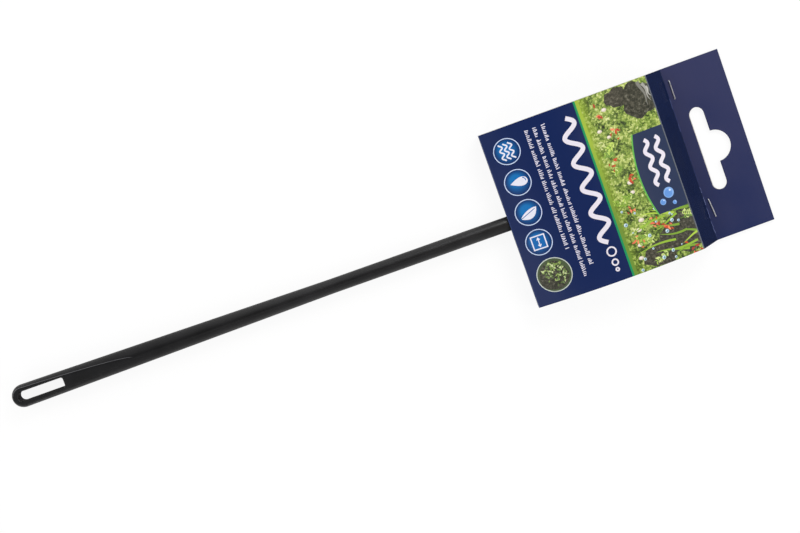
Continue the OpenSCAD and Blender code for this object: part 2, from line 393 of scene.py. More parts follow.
@dataclass(frozen=True)
class Finish:
    """A material, named for what it really is, with the values that its nodes start from."""

    name: str
    colour: str
    roughness: float
    metallic: float = 0.0
    ior: float = 1.5
    sheen: float = 0.0

    def start(self) -> Graph:
        """Makes the material with its plain values on the shader's own sockets.

        Returns:
            Its node tree, for the finish to build on.
        """
        made = bpy.data.materials.new(self.name)
        made.use_nodes = True
        made.diffuse_color = linear(self.colour)
        graph = Graph(made.node_tree, made)
        graph.give({"Base Color": made.diffuse_color, "Roughness": self.roughness,
                    "Metallic": self.metallic, "Sheen Weight": self.sheen})
        if not self.metallic:
            graph.give({"IOR": self.ior})
        return graph

    def clouded(self, graph: Graph, noise: NodeSocket, less: float, more: float) -> NodeSocket:
        """Roughness that a noise sways from less under to more over the plain value."""
        return graph.add("MapRange", {"Value": noise, "To Min": self.roughness - less,
                                      "To Max": self.roughness + more})


@dataclass(frozen=True)
class MouldedPolypropylene(Finish):
    """Black polypropylene out of a satin mould: soft wide highlights, a fine etched grain, faint
    flow clouding, the parting line where the two mould halves met, and a pale line painted along
    the flats' upper edge as a highlight. The line is 0.1 mm wide on the real one and drawn wider,
    to show. The gloss fades towards the paddle, where hands and hooks touch it."""

    cloud_mm: float = 14.0
    parting_height: float = 4.9
    grain_mm: float = 0.35
    edge_mm: float = 0.20
    # The colour of the highlight painted along the flats' upper edge.
    highlight_colour: str = "5e5e61"
    worn_ior: float = 1.38
    worn_from: float = -0.12
    worn_to: float = -0.06
    line_mm: float = 0.12

    def make(self) -> Material:
        """Adds clouded colour and roughness, the etched grain, the parting line and the painted
        highlight on the flats' edge.

        Returns:
            The material.
        """
        g = self.start()
        where = g.add("TexCoord", out="Object")
        place = g.add("SeparateXYZ", {"Vector": where}).node.outputs
        cloud = g.add("TexNoise", {"Vector": where, "Scale": 1 / (self.cloud_mm * MM),
                                   "Detail": 3.0})
        shade = g.add("ValToRGB", {"Fac": cloud}, {0.3: self.colour, 0.75: "131315"})
        # Paints a highlight along the flats' upper edge over the clouded colour.
        highlighted = g.add("Mix", {"Factor": self.painted_edge_highlight(g, place), "A": shade,
                             "B": linear(self.highlight_colour)}, out="Result", data_type="RGBA")
        gloss = g.add("MapRange", {"Value": place["X"], "From Min": self.worn_from,
                                   "From Max": self.worn_to, "To Min": self.worn_ior,
                                   "To Max": self.ior})
        grain = g.add("TexNoise", {"Vector": where, "Scale": 1 / (self.grain_mm * MM),
                                   "Detail": 2.0, "Roughness": 0.6})
        away = g.add("Math", {0: place["Z"], 1: self.parting_height * MM}, operation="SUBTRACT")
        near = g.add("Math", {0: away}, operation="ABSOLUTE")
        line = g.add("MapRange", {"Value": near, "From Min": 0.0, "From Max": self.line_mm * MM,
                                  "To Min": 1.0, "To Max": 0.0})
        ridge = g.add("Bump", {"Height": line, "Strength": 0.5, "Distance": 0.05 * MM})
        etched = g.add("Bump", {"Height": grain, "Strength": 0.35, "Distance": 0.03 * MM,
                                "Normal": ridge})
        return g.give({"Base Color": highlighted, "Roughness": self.clouded(g, cloud, 0.05, 0.07),
                       "IOR": gloss, "Normal": etched})

    def painted_edge_highlight(self, g: Graph, place: bpy.types.bpy_prop_collection) -> NodeSocket:
        """Where a highlight is painted along the upper edge of the paddle's flats, from 0 to 1.

        The edge lies where the flat's height a over the axis and the place y across make the
        rod's radius: sqrt(y^2 + n^2 + a^2) = r, with n the distance past the nose's centre.

        Args:
            g: The material's graph.
            place: The point's X, Y and Z.

        Returns:
            The share of the painted highlight's colour.
        """
        rod = Handle()
        start = PLACE.net(np.array([-rod.out, 0.0, 0.0]))
        slope = {"r": (rod.neck - rod.tip) / rod.taper,
                 "a": (rod.axis_z - rod.tip_half) / rod.flat_len}
        x, y = (g.add("Math", {0: place[name], 1: 1 / MM, 2: -start[i]}, operation="MULTIPLY_ADD")
                for i, name in enumerate("XY"))
        r, a = (g.add("Math", {0: x, 1: slope[name], 2: base}, operation="MULTIPLY_ADD")
                for name, base in (("r", rod.tip), ("a", rod.tip_half)))
        left = g.add("Math", {0: rod.tip, 1: x}, operation="SUBTRACT")
        nose = g.add("Math", {0: left, 1: 0.0}, operation="MAXIMUM")
        spot = g.add("CombineXYZ", {"X": y, "Y": nose, "Z": a})
        far = g.add("VectorMath", {0: spot}, out="Value", operation="LENGTH")
        off = g.add("Math", {0: far, 1: r}, operation="SUBTRACT")
        near = g.add("Math", {0: off}, operation="ABSOLUTE")
        reach = g.add("Math", {0: y, 1: self.edge_mm / rod.tip}, operation="MULTIPLY")
        line = g.add("MapRange", {"Value": near, "From Min": 0.0, "From Max": reach,
                                  "To Min": 1.0, "To Max": 0.0})
        side = g.add("MapRange", {"Value": y, "From Min": 0.1, "From Max": 0.9})
        return g.add("Math", {0: line, 1: side}, operation="MULTIPLY")


@dataclass(frozen=True)
class DippedVinyl(Finish):
    """Soft vinyl that a wire is dipped in: smooth and a little glossy, with slow runs along it."""

    run_mm: float = 3.5

    def make(self) -> Material:
        """Adds the slow runs.

        Returns:
            The material.
        """
        g = self.start()
        where = g.add("TexCoord", out="Object")
        runs = g.add("TexNoise", {"Vector": where, "Scale": 1 / (self.run_mm * MM), "Detail": 1.0})
        bump = g.add("Bump", {"Height": runs, "Strength": 0.4, "Distance": 0.12 * MM})
        return g.give({"Roughness": self.clouded(g, runs, 0.06, 0.08), "Normal": bump})


@dataclass(frozen=True)
class DrawnWire(Finish):
    """Steel wire drawn through a die and zinc plated: a grey metal with fine scratches."""

    dull_mm: float = 1.4
    scratch_mm: float = 0.12

    def make(self) -> Material:
        """Adds die scratches and dull patches of zinc.

        Returns:
            The material.
        """
        g = self.start()
        where = g.add("TexCoord", out="Object")
        dull = g.add("TexNoise", {"Vector": where, "Scale": 1 / (self.dull_mm * MM), "Detail": 4.0})
        tint = g.add("ValToRGB", {"Fac": dull}, {0.35: self.colour, 0.7: "e4e6e8"})
        fine = g.add("TexNoise", {"Vector": where, "Scale": 1 / (self.scratch_mm * MM),
                                  "Detail": 1.0})
        bump = g.add("Bump", {"Height": fine, "Strength": 0.2, "Distance": 0.01 * MM})
        return g.give({"Base Color": tint, "Roughness": self.clouded(g, dull, 0.08, 0.12),
                       "Normal": bump})


@dataclass(frozen=True)
class WovenTape(Finish):
    """Woven polyester tape. The yarns lie 0.5 mm apart on the real tape; they are drawn 0.8 mm
    apart, because finer ones don't show in the render. The eye gets a faint rib and a sheen."""

    yarn_mm: float = 0.8

    def make(self) -> Material:
        """Adds warp and weft waves on the surface's own coordinates, in millimetres.

        Returns:
            The material.
        """
        g = self.start()
        where = g.add("UVMap", uv_map=WEAVE_MAP)
        scaled = g.add("VectorMath", {0: where, "Scale": TURN / self.yarn_mm}, operation="SCALE")
        parts = g.add("SeparateXYZ", {"Vector": scaled}).node.outputs
        warp, weft = (g.add("Math", {0: parts[name]}, operation="SINE") for name in "XY")
        weave = g.add("Math", {0: warp, 1: weft}, operation="MULTIPLY")
        lint = g.add("TexNoise", {"Vector": where, "Scale": 1.4, "Detail": 5.0})
        both = g.add("Math", {0: weave, 1: 0.18, 2: lint}, operation="MULTIPLY_ADD")
        # Lighter on the yarns' crests as a painted highlight, and lighter where the lint lies.
        shade = g.add("ValToRGB", {"Fac": both}, {0.3: self.colour, 0.85: "3c3d42"})
        bump = g.add("Bump", {"Height": weave, "Strength": 0.6, "Distance": 0.08 * MM})
        return g.give({"Base Color": shade, "Normal": bump})


@dataclass(frozen=True)
class TwistedThread(Finish):
    """Twisted polyester sewing thread or netting twine: slanted plies along its length."""

    ply_mm: float = 0.5

    def make(self) -> Material:
        """Adds slanted plies on the tube's own coordinates: millimetres along it, and one turn
        round it from 0 to 1. The colour is painted darker in the grooves between the plies and
        lighter on their crests, as shade and highlight.

        Returns:
            The material.
        """
        g = self.start()
        where = g.add("UVMap", uv_map=WEAVE_MAP)
        parts = g.add("SeparateXYZ", {"Vector": where}).node.outputs
        slant = g.add("Math", {0: parts["X"], 1: 1 / self.ply_mm, 2: parts["Y"]},
                      operation="MULTIPLY_ADD")
        turns = g.add("Math", {0: slant, 1: TURN}, operation="MULTIPLY")
        plies = g.add("Math", {0: turns}, operation="SINE")
        # Painted shade in the grooves between plies and painted highlight on their crests.
        shade = g.add("MapRange", {"Value": plies, "From Min": -1.0, "From Max": 1.0,
                                   "To Min": 0.75, "To Max": 1.25})
        tint = g.add("VectorMath", {0: linear(self.colour)[:3], "Scale": shade}, operation="SCALE")
        bump = g.add("Bump", {"Height": plies, "Strength": 0.5, "Distance": 0.05 * MM})
        return g.give({"Base Color": tint, "Normal": bump})


@dataclass(frozen=True)
class CardStock(Finish):
    """Uncoated back or cut edge of solid board: pale grey pulp with darker fibres."""

    mottle_mm: float = 5.0
    fibre_mm: float = 0.9
    fibre: str = "c9c8c2"

    def make(self) -> Material:
        """Adds fibres and a soft mottle.

        Returns:
            The material.
        """
        g = self.start()
        where = g.add("TexCoord", out="Object")
        mottle = g.add("TexNoise", {"Vector": where, "Scale": 1 / (self.mottle_mm * MM),
                                    "Detail": 4.0})
        fibre = g.add("TexNoise", {"Vector": where, "Scale": 1 / (self.fibre_mm * MM),
                                   "Detail": 5.0, "Distortion": 2.0})
        mixed = g.add("Math", {0: mottle, 1: fibre}, operation="MULTIPLY")
        tint = g.add("ValToRGB", {"Fac": mixed}, {0.10: self.fibre, 0.30: self.colour})
        bump = g.add("Bump", {"Height": fibre, "Strength": 0.3, "Distance": 0.03 * MM})
        return g.give({"Base Color": tint, "Normal": bump})


@dataclass(frozen=True)
class VarnishedPrint(Finish):
    """Offset print on coated board under a clear gloss varnish. The ink colour is on each face;
    where it says so, printed moss or stone takes its place, drawn from the card's own
    millimetre coordinates. The varnish gives a soft sheen, and the board's slow warp and slight
    ripples make it uneven."""

    leaf_mm: float = 0.95
    warp_mm: float = 0.9

    def moss(self, g: Graph, where: NodeSocket) -> NodeSocket:
        """Printed moss: small leaves in patches, darker towards one side of the card, with a
        yellow glow along the edge by the title.

        Args:
            g: The material's graph.
            where: The card's own coordinates in millimetres.

        Returns:
            The moss's colour.
        """
        sway = g.add("TexNoise", {"Vector": where, "Scale": 0.8, "Detail": 2.0}, out="Color")
        bent = g.add("VectorMath", {0: sway, "Scale": 1.6}, operation="SCALE")
        moved = g.add("VectorMath", {0: where, 1: bent}, operation="ADD")
        leaves = g.add("TexVoronoi", {"Vector": moved, "Scale": 1 / self.leaf_mm,
                                      "Randomness": 1.0}).node.outputs
        pick = g.add("SeparateColor", {"Color": leaves["Color"]}, out="Red")
        patch = g.add("TexNoise", {"Vector": where, "Scale": 0.16, "Detail": 3.0, "Roughness": 0.6})
        level = g.add("Math", {0: pick, 1: 0.45, 2: patch}, operation="MULTIPLY_ADD")
        gap = g.add("Math", {0: leaves["Distance"], 1: -0.30, 2: level}, operation="MULTIPLY_ADD")
        edge = g.add("SeparateXYZ", {"Vector": where}).node.outputs
        deep = g.add("Math", {0: edge["Y"], 1: 0.0013, 2: gap}, operation="MULTIPLY_ADD")
        shadow = g.add("Math", {0: deep, 1: 0.03}, operation="SUBTRACT")
        shade = g.add("ValToRGB", {"Fac": shadow}, {
            0.20: "222e18", 0.36: "445926", 0.50: "6a8436", 0.64: "8ea34a", 0.80: "b4c06e",
            0.95: "d2d79a"})
        wander = g.add("Math", {0: patch, 1: 5.0, 2: edge["X"]}, operation="MULTIPLY_ADD")
        fade = g.add("MapRange", {"Value": wander, "From Min": 50.5, "From Max": 55.5,
                                  "To Min": 0.85, "To Max": 0.0})
        past = g.add("Math", {0: edge["X"], 1: 40.0}, operation="GREATER_THAN")
        wane = g.add("MapRange", {"Value": edge["Y"], "From Min": -30.0, "From Max": 30.0,
                                  "To Min": 0.35, "To Max": 1.0})
        here = g.add("Math", {0: past, 1: wane}, operation="MULTIPLY")
        glow = g.add("Math", {0: fade, 1: here}, operation="MULTIPLY")
        return g.add("Mix", {"Factor": glow, "A": shade, "B": linear("8fa632")}, out="Result",
                     data_type="RGBA")

    def make(self) -> Material:
        """Adds the ink, both printed textures and the varnish.

        Returns:
            The material.
        """
        g = self.start()
        where = g.add("UVMap", uv_map=WEAVE_MAP)
        veins = g.add("TexNoise", {"Vector": where, "Scale": 0.7, "Detail": 6.0,
                                   "Roughness": 0.65, "Distortion": 0.6})
        stone = g.add("ValToRGB", {"Fac": veins}, {
            0.30: "20211a", 0.48: "39392f", 0.60: "535144", 0.72: "7d7b6e"})
        shown = g.add("Attribute", attribute_name="ink")
        for name, texture in (("moss", self.moss(g, where)), ("stone", stone)):
            mark = g.add("Attribute", out="Fac", attribute_name=name)
            shown = g.add("Mix", {"Factor": mark, "A": shown, "B": texture}, out="Result",
                          data_type="RGBA")
        ripple = g.add("TexNoise", {"Vector": where, "Scale": 1.1, "Detail": 2.0})
        warp = g.add("TexNoise", {"Vector": where, "Scale": 0.03, "Detail": 1.0})
        bowed = g.add("Bump", {"Height": warp, "Strength": 1.0, "Distance": self.warp_mm * MM})
        bump = g.add("Bump", {"Height": ripple, "Strength": 0.25, "Distance": 0.02 * MM,
                              "Normal": bowed})
        return g.give({"Base Color": shown, "Normal": bump})


@dataclass
class Finishes:
    """Every finish of the object, made once. The board's are its print, back and cut edge."""

    handle: Material = field(default_factory=MouldedPolypropylene(
        "moulded polypropylene", "09090a", 0.32, ior=1.53).make)
    coating: Material = field(default_factory=DippedVinyl(
        "dipped vinyl", "141416", 0.30, ior=1.53).make)
    wire: Material = field(default_factory=DrawnWire(
        "drawn steel wire", "b9bcc0", 0.28, metallic=1.0).make)
    staple: Material = field(default_factory=DrawnWire(
        "galvanised staple wire", "dcdee0", 0.30, metallic=1.0).make)
    tape: Material = field(default_factory=WovenTape(
        "woven polyester tape", "1b1b1e", 0.78, sheen=0.25).make)
    thread: Material = field(default_factory=TwistedThread(
        "polyester sewing thread", "47474d", 0.62, sheen=0.2).make)
    twine: Material = field(default_factory=TwistedThread(
        "knotless nylon netting", "23282a", 0.50, ply_mm=0.7).make)
    board: list[Material] = field(default_factory=lambda: [finish.make() for finish in (
        VarnishedPrint("varnished offset print", "102250", 0.24, ior=1.40),
        CardStock("unprinted board back", "d3d1cb", 0.85),
        # The board's cut edge: ink, and painted shade that darkens it further.
        CardStock("inked cut edge of the board in painted shade", "20243a", 0.9, fibre="141729"))])


@dataclass
class Handle:
    """The long handle: a round neck that widens into a paddle with a hanging slot."""

    out: float = 254.0
    inside: float = 1.5
    neck: float = 3.6
    tip: float = 5.7
    taper: float = 163.0
    tip_half: float = 3.45
    flat_len: float = 62.0
    slot_len: float = 23.3
    slot_half: float = 2.45
    rim: float = 3.5
    slot_corner: float = 1.0
    past_slot: float = 5.0
    edge: float = 0.6
    end_edge: float = 0.5
    facet: float = 36.0

    def radius(self, x: Array | float) -> Array:
        """Radius at x from the tip: a straight taper down to the neck."""
        return self.tip + (self.neck - self.tip) * np.clip(x / self.taper, 0, 1)

    @property
    def axis_z(self) -> float:
        """Height of the axis: the rod lies on the table where the flats run out."""
        return float(self.radius(self.flat_len))

    def height(self, x: Array, y: Array) -> Array:
        """Half thickness over a point of the plan.

        The round height b = sqrt(r^2 - y^2), or that of a rounded nose before the tip's centre,
        meets the sloping flat a by the soft minimum (a^-p + b^-p)^(-1/p), so the facet's edge
        is softly rounded. The flat rises evenly from the tip until it leaves the rod.

        Args:
            x: Places from the tip.
            y: Places across.

        Returns:
            The heights over the axis.
        """
        r = self.radius(np.maximum(x, self.tip))
        nose = np.clip((self.tip - x) / self.tip, 0, 1)
        b = np.maximum(r * np.sqrt(np.clip(1 - nose**2 - (y / r) ** 2, 0, 1)), 1e-6)
        a = self.tip_half + (self.axis_z - self.tip_half) / self.flat_len * x
        return (a**-self.facet + b**-self.facet) ** (-1 / self.facet)

    def loops(self) -> tuple[Array, Array, Array, int, float]:
        """Plan of the slotted end: along the slot's left side, round the tip, back along its
        right side and across its rear end, which has two round corners.

        Returns:
            The slot's outline, the directions away from it, the outer line that it is joined
            to, the first point of the rear end, and where the rod starts.
        """
        arm, nose, rear = 30, 28, 25
        hw, corner = self.slot_half, self.slot_corner
        near, far = self.rim + hw, self.rim + self.slot_len - corner
        join = far + corner + self.past_slot
        a = np.linspace(QUARTER, 1.5 * math.pi, nose, endpoint=False)
        bend, straight = QUARTER * corner, 2 * (hw - corner)
        run = np.linspace(0, 2 * bend + straight, rear)
        turn = (np.clip(run, 0, bend) + np.clip(run - bend - straight, 0, bend)) / corner
        left, right = np.full(arm, QUARTER), np.full(arm, -QUARTER)
        facing = np.concatenate([left, a, right, turn - QUARTER])
        along = [np.linspace(*ends, arm, endpoint=False)
                 for ends in ((far, near), (near, far), (join, self.tip), (self.tip, join))]
        x = np.concatenate([along[0], np.full(nose, near), along[1], np.full(rear, far)])
        y = np.append(np.zeros(2 * arm + nose), np.clip(run - bend, 0, straight) + corner - hw)
        reach = np.repeat([hw, corner], [2 * arm + nose, rear])
        out_x = np.concatenate([along[2], self.tip * (1 + np.cos(a)), along[3],
                                np.full(rear, join)])
        out_y = np.append(np.sin(facing[:-rear]), -np.cos(np.linspace(0, math.pi, rear)))
        outer = stack(out_x, self.radius(np.maximum(out_x, self.tip)) * out_y)
        away = ray(facing)
        return stack(x, y) + reach[:, None] * away, away, outer, 2 * arm + nose, join

    def place(self, x: Array, y: Array, z: Array) -> Array:
        """Puts handle points, with x from the tip and z from the axis, into the shared frame."""
        return PLACE.net(stack(x - self.out, y, z + self.axis_z))

    def build(self, finish: Material) -> None:
        """Builds the upper and lower skins round the slot, the slot's wall and the rod.

        The skin runs from the slot's rounded edge out to the equator, and the rod's rings carry
        the same plan points on, so the two meet.

        Args:
            finish: The moulding's material.
        """
        slot, away, outer, rear, join = self.loops()
        turn = np.linspace(0, QUARTER, 6)
        lip = slot[:, None] + (self.edge * (1 - np.cos(turn)))[:, None] * away[:, None]
        reach = np.sin(np.linspace(0, QUARTER, 20))[1:]
        skin = lip[:, -1:] + reach[:, None] * (outer - lip[:, -1])[:, None]
        plan = np.concatenate([lip, skin], 1)
        high = self.height(plan[..., 0], plan[..., 1])
        high[:, : len(turn)] -= self.edge * (1 - np.sin(turn))
        high[: rear + 1, -1] = high[-1, -1] = 0.0
        shell = Shell()
        for side in (1, -1):
            shell.grid(self.place(plan[..., 0], plan[..., 1], side * high), wrap=(True, False),
                       flip=side < 0)
        wall = self.place(slot[:, :1], slot[:, 1:], high[:, :1] * np.linspace(1, -1, 5))
        shell.grid(wall, wrap=(True, False))
        close = np.linspace(0, QUARTER, 5)[1:]
        end = self.out + self.inside - self.end_edge
        x = np.concatenate([np.linspace(join, self.taper, 60), np.linspace(self.taper, end, 24)[1:],
                            end + self.end_edge * np.append(np.sin(close), 1.0)])
        scale = np.ones(len(x))
        scale[-5:] = np.append(1 - self.end_edge * (1 - np.cos(close)) / self.neck, 0.0)
        y = -self.radius(x)[:, None] * np.cos(np.linspace(0, math.pi, 25))
        z = self.height(x[:, None], y)
        z[:, [0, -1]] = 0.0
        ring = [np.hstack([part, sign * part[:, -2:0:-1]]) * scale[:, None]
                for part, sign in ((y, 1), (z, -1))]
        shell.grid(self.place(x[:, None], *ring), wrap=(False, True))
        made = shell.piece("handle_moulding", [finish], sharp=50)
        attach(made, Body.NET.value)
        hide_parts("handle")


@dataclass(frozen=True)
class HoopSizes:
    """The hoop that the hem and the bag follow."""

    start_x: float = 8.0
    length: float = 73.0
    width: float = 77.0
    corner: float = 15.0
    axis_z: float = 4.9
    mouth: float = 6.35

    @property
    def middle(self) -> float:
        """Where the hoop's middle lies along the net."""
        return self.start_x + self.length / 2

    def contour(self, fraction: Array, inset: Array | float,
                least: float = 2.5) -> tuple[Array, Array]:
        """A rounded rectangle drawn in from the hoop by the same distance all round.

        Args:
            fraction: Place from 0 to 8. Even whole parts are straight sides and odd ones are
                corners, from the near side (-x) on to +y, +x and -y.
            inset: Distance inwards from the hoop.
            least: The smallest corner radius.

        Returns:
            Points and outward directions in plan, both in the net's axes.
        """
        fraction, inset = np.broadcast_arrays(fraction % 8, inset)
        part = np.minimum(fraction.astype(int), 7)
        t = fraction - part
        r = np.maximum(self.corner - inset, least)
        a = self.length / 2 - inset - r
        b = self.width / 2 - inset - r
        side, bent = part // 2, part % 2 == 1
        away = ray(math.pi - QUARTER * (side + np.where(bent, t, 0.0)))
        slide = np.where(bent, 1.0, 2 * t - 1)
        sides = [side == 0, side == 1, side == 2]
        x = np.select(sides, [-a, a * slide, a], -a * slide)
        y = np.select(sides, [b * slide, b, -b * slide], -b)
        return stack(x + self.middle, y) + r[..., None] * away, away

    def along(self, inset: float, step: float, mouth: float) -> tuple[Array, Array, Array]:
        """Evenly spaced points round a contour that is open at the neck.

        Args:
            inset: Distance inwards from the hoop.
            step: Wanted distance between points.
            mouth: Half width of the gap at the neck.

        Returns:
            Points, outward directions, and the distance along to each.
        """
        points, away = self.contour(np.linspace(0.5, 8.5, 1601), inset)
        keep = (np.abs(points[:, 1]) >= mouth) | (points[:, 0] >= self.middle)
        points, away = points[keep], away[keep]
        ends = [[[points[0, 0], mouth]], [[points[-1, 0], -mouth]]]
        points = np.concatenate([ends[0], points, ends[1]])
        away = np.concatenate([away[:1], away, away[-1:]])
        gone = travel(points)
        at = np.linspace(0, gone[-1], max(int(round(gone[-1] / step)), 2) + 1)
        return (*[stack(*[np.interp(at, gone, v) for v in part.T]) for part in (points, away)], at)


@dataclass
class NetHead:
    """What the hoop carries: the hem tape and its stitches, the folded bag and its seams."""

    finishes: Finishes
    hoop: HoopSizes = field(default_factory=HoopSizes)
    hem_r: float = 2.0
    pucker: float = 0.12
    gather: float = 0.25
    slack: float = 0.10
    slack_len: float = 23.0
    strip_w: float = 8.0
    strip_t: float = 0.9
    stitch_in: float = 4.4
    stitch_pitch: float = 4.2
    stitch_len: float = 2.9
    stitch_sink: float = 0.06
    stitch_h: float = 0.24
    thread_d: float = 0.42
    pleat_w: float = 14.0
    bag_z: float = 0.7
    bag_in: float = 1.2
    turn_len: float = 1.2
    layer_gap: float = 0.70
    wave_h: float = 0.07
    drift: float = 0.5
    mesh_pitch: float = 1.5
    twine_r: float = 0.22
    weave_h: float = 0.08
    wall_depth: float = 35.0
    seam_w: float = 1.6
    overlock_r: float = 0.12
    zigzags: int = 11
    ruffles: int = 5
    ruffle_h: float = 0.9
    parts: list[Object] = field(default_factory=list)

    def hem(self) -> None:
        """Builds the hem tape: a sleeve round the coated wire and a doubled strip inside it.

        The section is a closed line of (distance outwards, height). It is carried round the hoop
        and puckers between the stitches: the strip's top swells by sin^2 of the pitch, and its
        inner edge draws in and out with it.
        """
        r, low = self.hem_r, -self.hem_r
        top, half = low + self.strip_t, self.strip_t / 2
        meet, inner = -math.sqrt(r**2 - top**2), half - self.strip_w
        over = np.linspace(-QUARTER, math.pi + math.asin(-top / r), 30)
        edge = np.linspace(QUARTER, 3 * QUARTER, 7)[1:-1]
        section = np.concatenate([
            r * ray(over), stack(np.linspace(meet - 0.25, inner, 10), top),
            [inner, low + half] + half * ray(edge), stack(np.linspace(inner, -0.3, 10), low)])
        plan, away, at = self.hoop.along(0.0, 0.7, self.hoop.mouth)
        o, z = section.T[:, None]
        wave = np.sin(math.pi * at / self.stitch_pitch)[:, None]
        on_strip = np.clip((-o - 2.2) / 2.0, 0, 1)
        swell = self.pucker * (wave**2 - 0.5) * on_strip * (z > low + half)
        slack = self.slack * np.sin(TURN * at / self.slack_len)[:, None] * on_strip
        o = o + self.gather * (wave**2 - 0.5) * np.clip((-o - 6) / 2, 0, 1) + slack
        flat = plan[:, None] + o[..., None] * away[:, None]
        points = stack(flat[..., 0], flat[..., 1], z + swell + self.hoop.axis_z)
        shell = Shell()
        shell.grid(PLACE.net(points), wrap=(False, True),
                   uv=stack(at[:, None], travel(section)[None]))
        for end in (points[0], points[-1]):
            middle = end.mean(0)
            rings = middle + (end - middle) * np.array([1.0, 0.5, 0.0])[:, None, None]
            shell.grid(PLACE.net(rings), wrap=(False, True), uv=rings[..., :2])
        made = shell.piece("hem_tape", [self.finishes.tape], sharp=60)
        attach(made, Body.NET.value)
        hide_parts("hem_band")
        self.parts.append(made)

    def stitches(self) -> None:
        """Builds the hem's row of stitches.

        Each stitch is a thread whose height over the tape is h (1 - (2t - 1)^4), so that it
        comes out of one hole and dives into the next.
        """
        plan, away, at = self.hoop.along(self.stitch_in, 0.2, self.hoop.mouth + 1)
        count = int((at[-1] - self.stitch_len) // self.stitch_pitch) + 1
        start = (at[-1] - (count - 1) * self.stitch_pitch - self.stitch_len) / 2
        t = np.linspace(0, 1, 9)
        where = start + np.arange(count)[:, None] * self.stitch_pitch + t * self.stitch_len
        top = self.hoop.axis_z - self.hem_r + self.strip_t
        x, y, side_x, side_y = (np.interp(where, at, v) for v in (*plan.T, *away.T))
        path = stack(x, y, top - self.stitch_sink + self.stitch_h * (1 - (2 * t - 1) ** 4))
        radius = self.thread_d / 2 * (1 - 0.35 * (2 * t - 1) ** 6)
        shell = Shell()
        for one in tube(PLACE.net(path), stack(side_x, side_y, 0.0), radius, 8):
            closed_tube(shell, one, along=self.stitch_len)
        made = shell.piece("hem_stitches", [self.finishes.thread])
        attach(made, Body.NET.value)
        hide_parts("hem_stitching")
        self.parts.append(made)

    def fold(self, flat: Array) -> Array:
        """Lays points of the bag's flat cut into the hoop, folded as it is packed.

        The floor keeps its place. Past the floor's edge the distance s goes up one pleat: 21 mm
        back inwards, then 14 mm out again to the hem. A point keeps its place round the contour,
        so the corners gather into small ruffles, sin squared of the turn round the corner. Height
        rises layer by layer, with slow waves in each.

        Args:
            flat: Points of the cut in plan, from its middle.

        Returns:
            Points in the net's axes.
        """
        hoop, lay = self.hoop, self.bag_in
        r = hoop.corner - lay
        a, b = hoop.length / 2 - lay - r, hoop.width / 2 - lay - r
        x, y = flat[..., 0], flat[..., 1]
        dx, dy = np.abs(x) - a, np.abs(y) - b
        over_x, over_y = np.maximum(dx, 0), np.maximum(dy, 0)
        corner = (dx > 0) & (dy > 0)
        s = np.maximum(np.where(corner, np.hypot(over_x, over_y), np.maximum(dx, dy)) - r, 0.0)
        turn = np.arctan2(over_y, np.maximum(dx, 1e-9)) / QUARTER
        slide_x, slide_y = (np.clip(x / a, -1, 1) + 1) / 2, (np.clip(y / b, -1, 1) + 1) / 2
        left, up = x < 0, y > 0
        place = np.select(
            [corner & left & up, corner & up, corner & ~left, corner, (dx > dy) & left, dx > dy,
             up],
            [1 + turn, 4 - turn, 5 + turn, 8 - turn, slide_y, 5 - slide_y, 2 + slide_x],
            7 - slide_x)
        back, ease = self.pleat_w + self.strip_w - lay, self.turn_len
        inset = lay + np.minimum(np.where(s < back, s, 2 * back - s), back - ease / 4)
        plan = hoop.contour(place, inset, least=3.0)[0]
        plan = np.where((s > 0)[..., None], plan, stack(x + hoop.middle, y))
        rise = np.clip(s / ease + 0.5, 0, 1) + np.clip((s - back) / ease + 0.5, 0, 1)
        u, v = plan[..., 0], plan[..., 1]
        wave = self.wave_h * np.sin(u / 4.3 + 1.9 * rise) * np.sin(v / 5.1 + 0.7)
        drift = self.drift * stack(np.sin(v / 6.7 + rise), np.sin(u / 7.9 - rise))
        ruffle = np.where(corner, np.sin(math.pi * self.ruffles * turn) ** 2, 0.0)
        ruffle *= np.clip(s / 6, 0, 1) * np.clip((self.wall_depth - s) / 3, 0, 1)
        inside = np.clip(hoop.contour(place, 0.0)[0] - plan, -3, 3)
        plan = plan + drift * np.clip(np.linalg.norm(inside, axis=-1, keepdims=True) / 3, 0, 1)
        high = self.bag_z + 0.30 + self.layer_gap * rise + wave + self.ruffle_h * ruffle
        return stack(plan[..., 0], plan[..., 1], high)

    def bag(self) -> None:
        """Builds the bag as crossing twines of its flat cut, folded into the hoop.

        The cut is a rectangle with round corners. The real mesh is 0.8 mm; it is drawn 1.5 mm
        wide, because finer twines don't show in the render.
        """
        more = self.wall_depth - self.bag_in
        half = np.array([self.hoop.length, self.hoop.width]) / 2 + more
        r = self.hoop.corner + more
        shell = Shell()
        for way in (0, 1):
            other = 1 - way
            lines = np.arange(-half[other] + 0.4, half[other] - 0.3, self.mesh_pitch)
            past = np.maximum(np.abs(lines) - (half[other] - r), 0)
            end = half[way] - r + np.sqrt(np.maximum(r**2 - past**2, 0))
            flat = np.zeros((len(lines), 111, 2))
            flat[..., way] = end[:, None] * np.linspace(-1, 1, 111)
            flat[..., other] = lines[:, None]
            path = self.fold(flat)
            path[..., 2] += (-self.weave_h, self.weave_h)[way]
            rings = tube(PLACE.net(path), np.roll([1.0, 0.0, 0.0], other), self.twine_r, 4)
            for one, long in zip(rings[end > 3], end[end > 3]):
                closed_tube(shell, one, along=2 * long)
        made = shell.piece("net_bag_mesh", [self.finishes.twine], sharp=None, outward=False)
        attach(made, Body.NET.value)
        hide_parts("net_bag")
        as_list(self.parts)

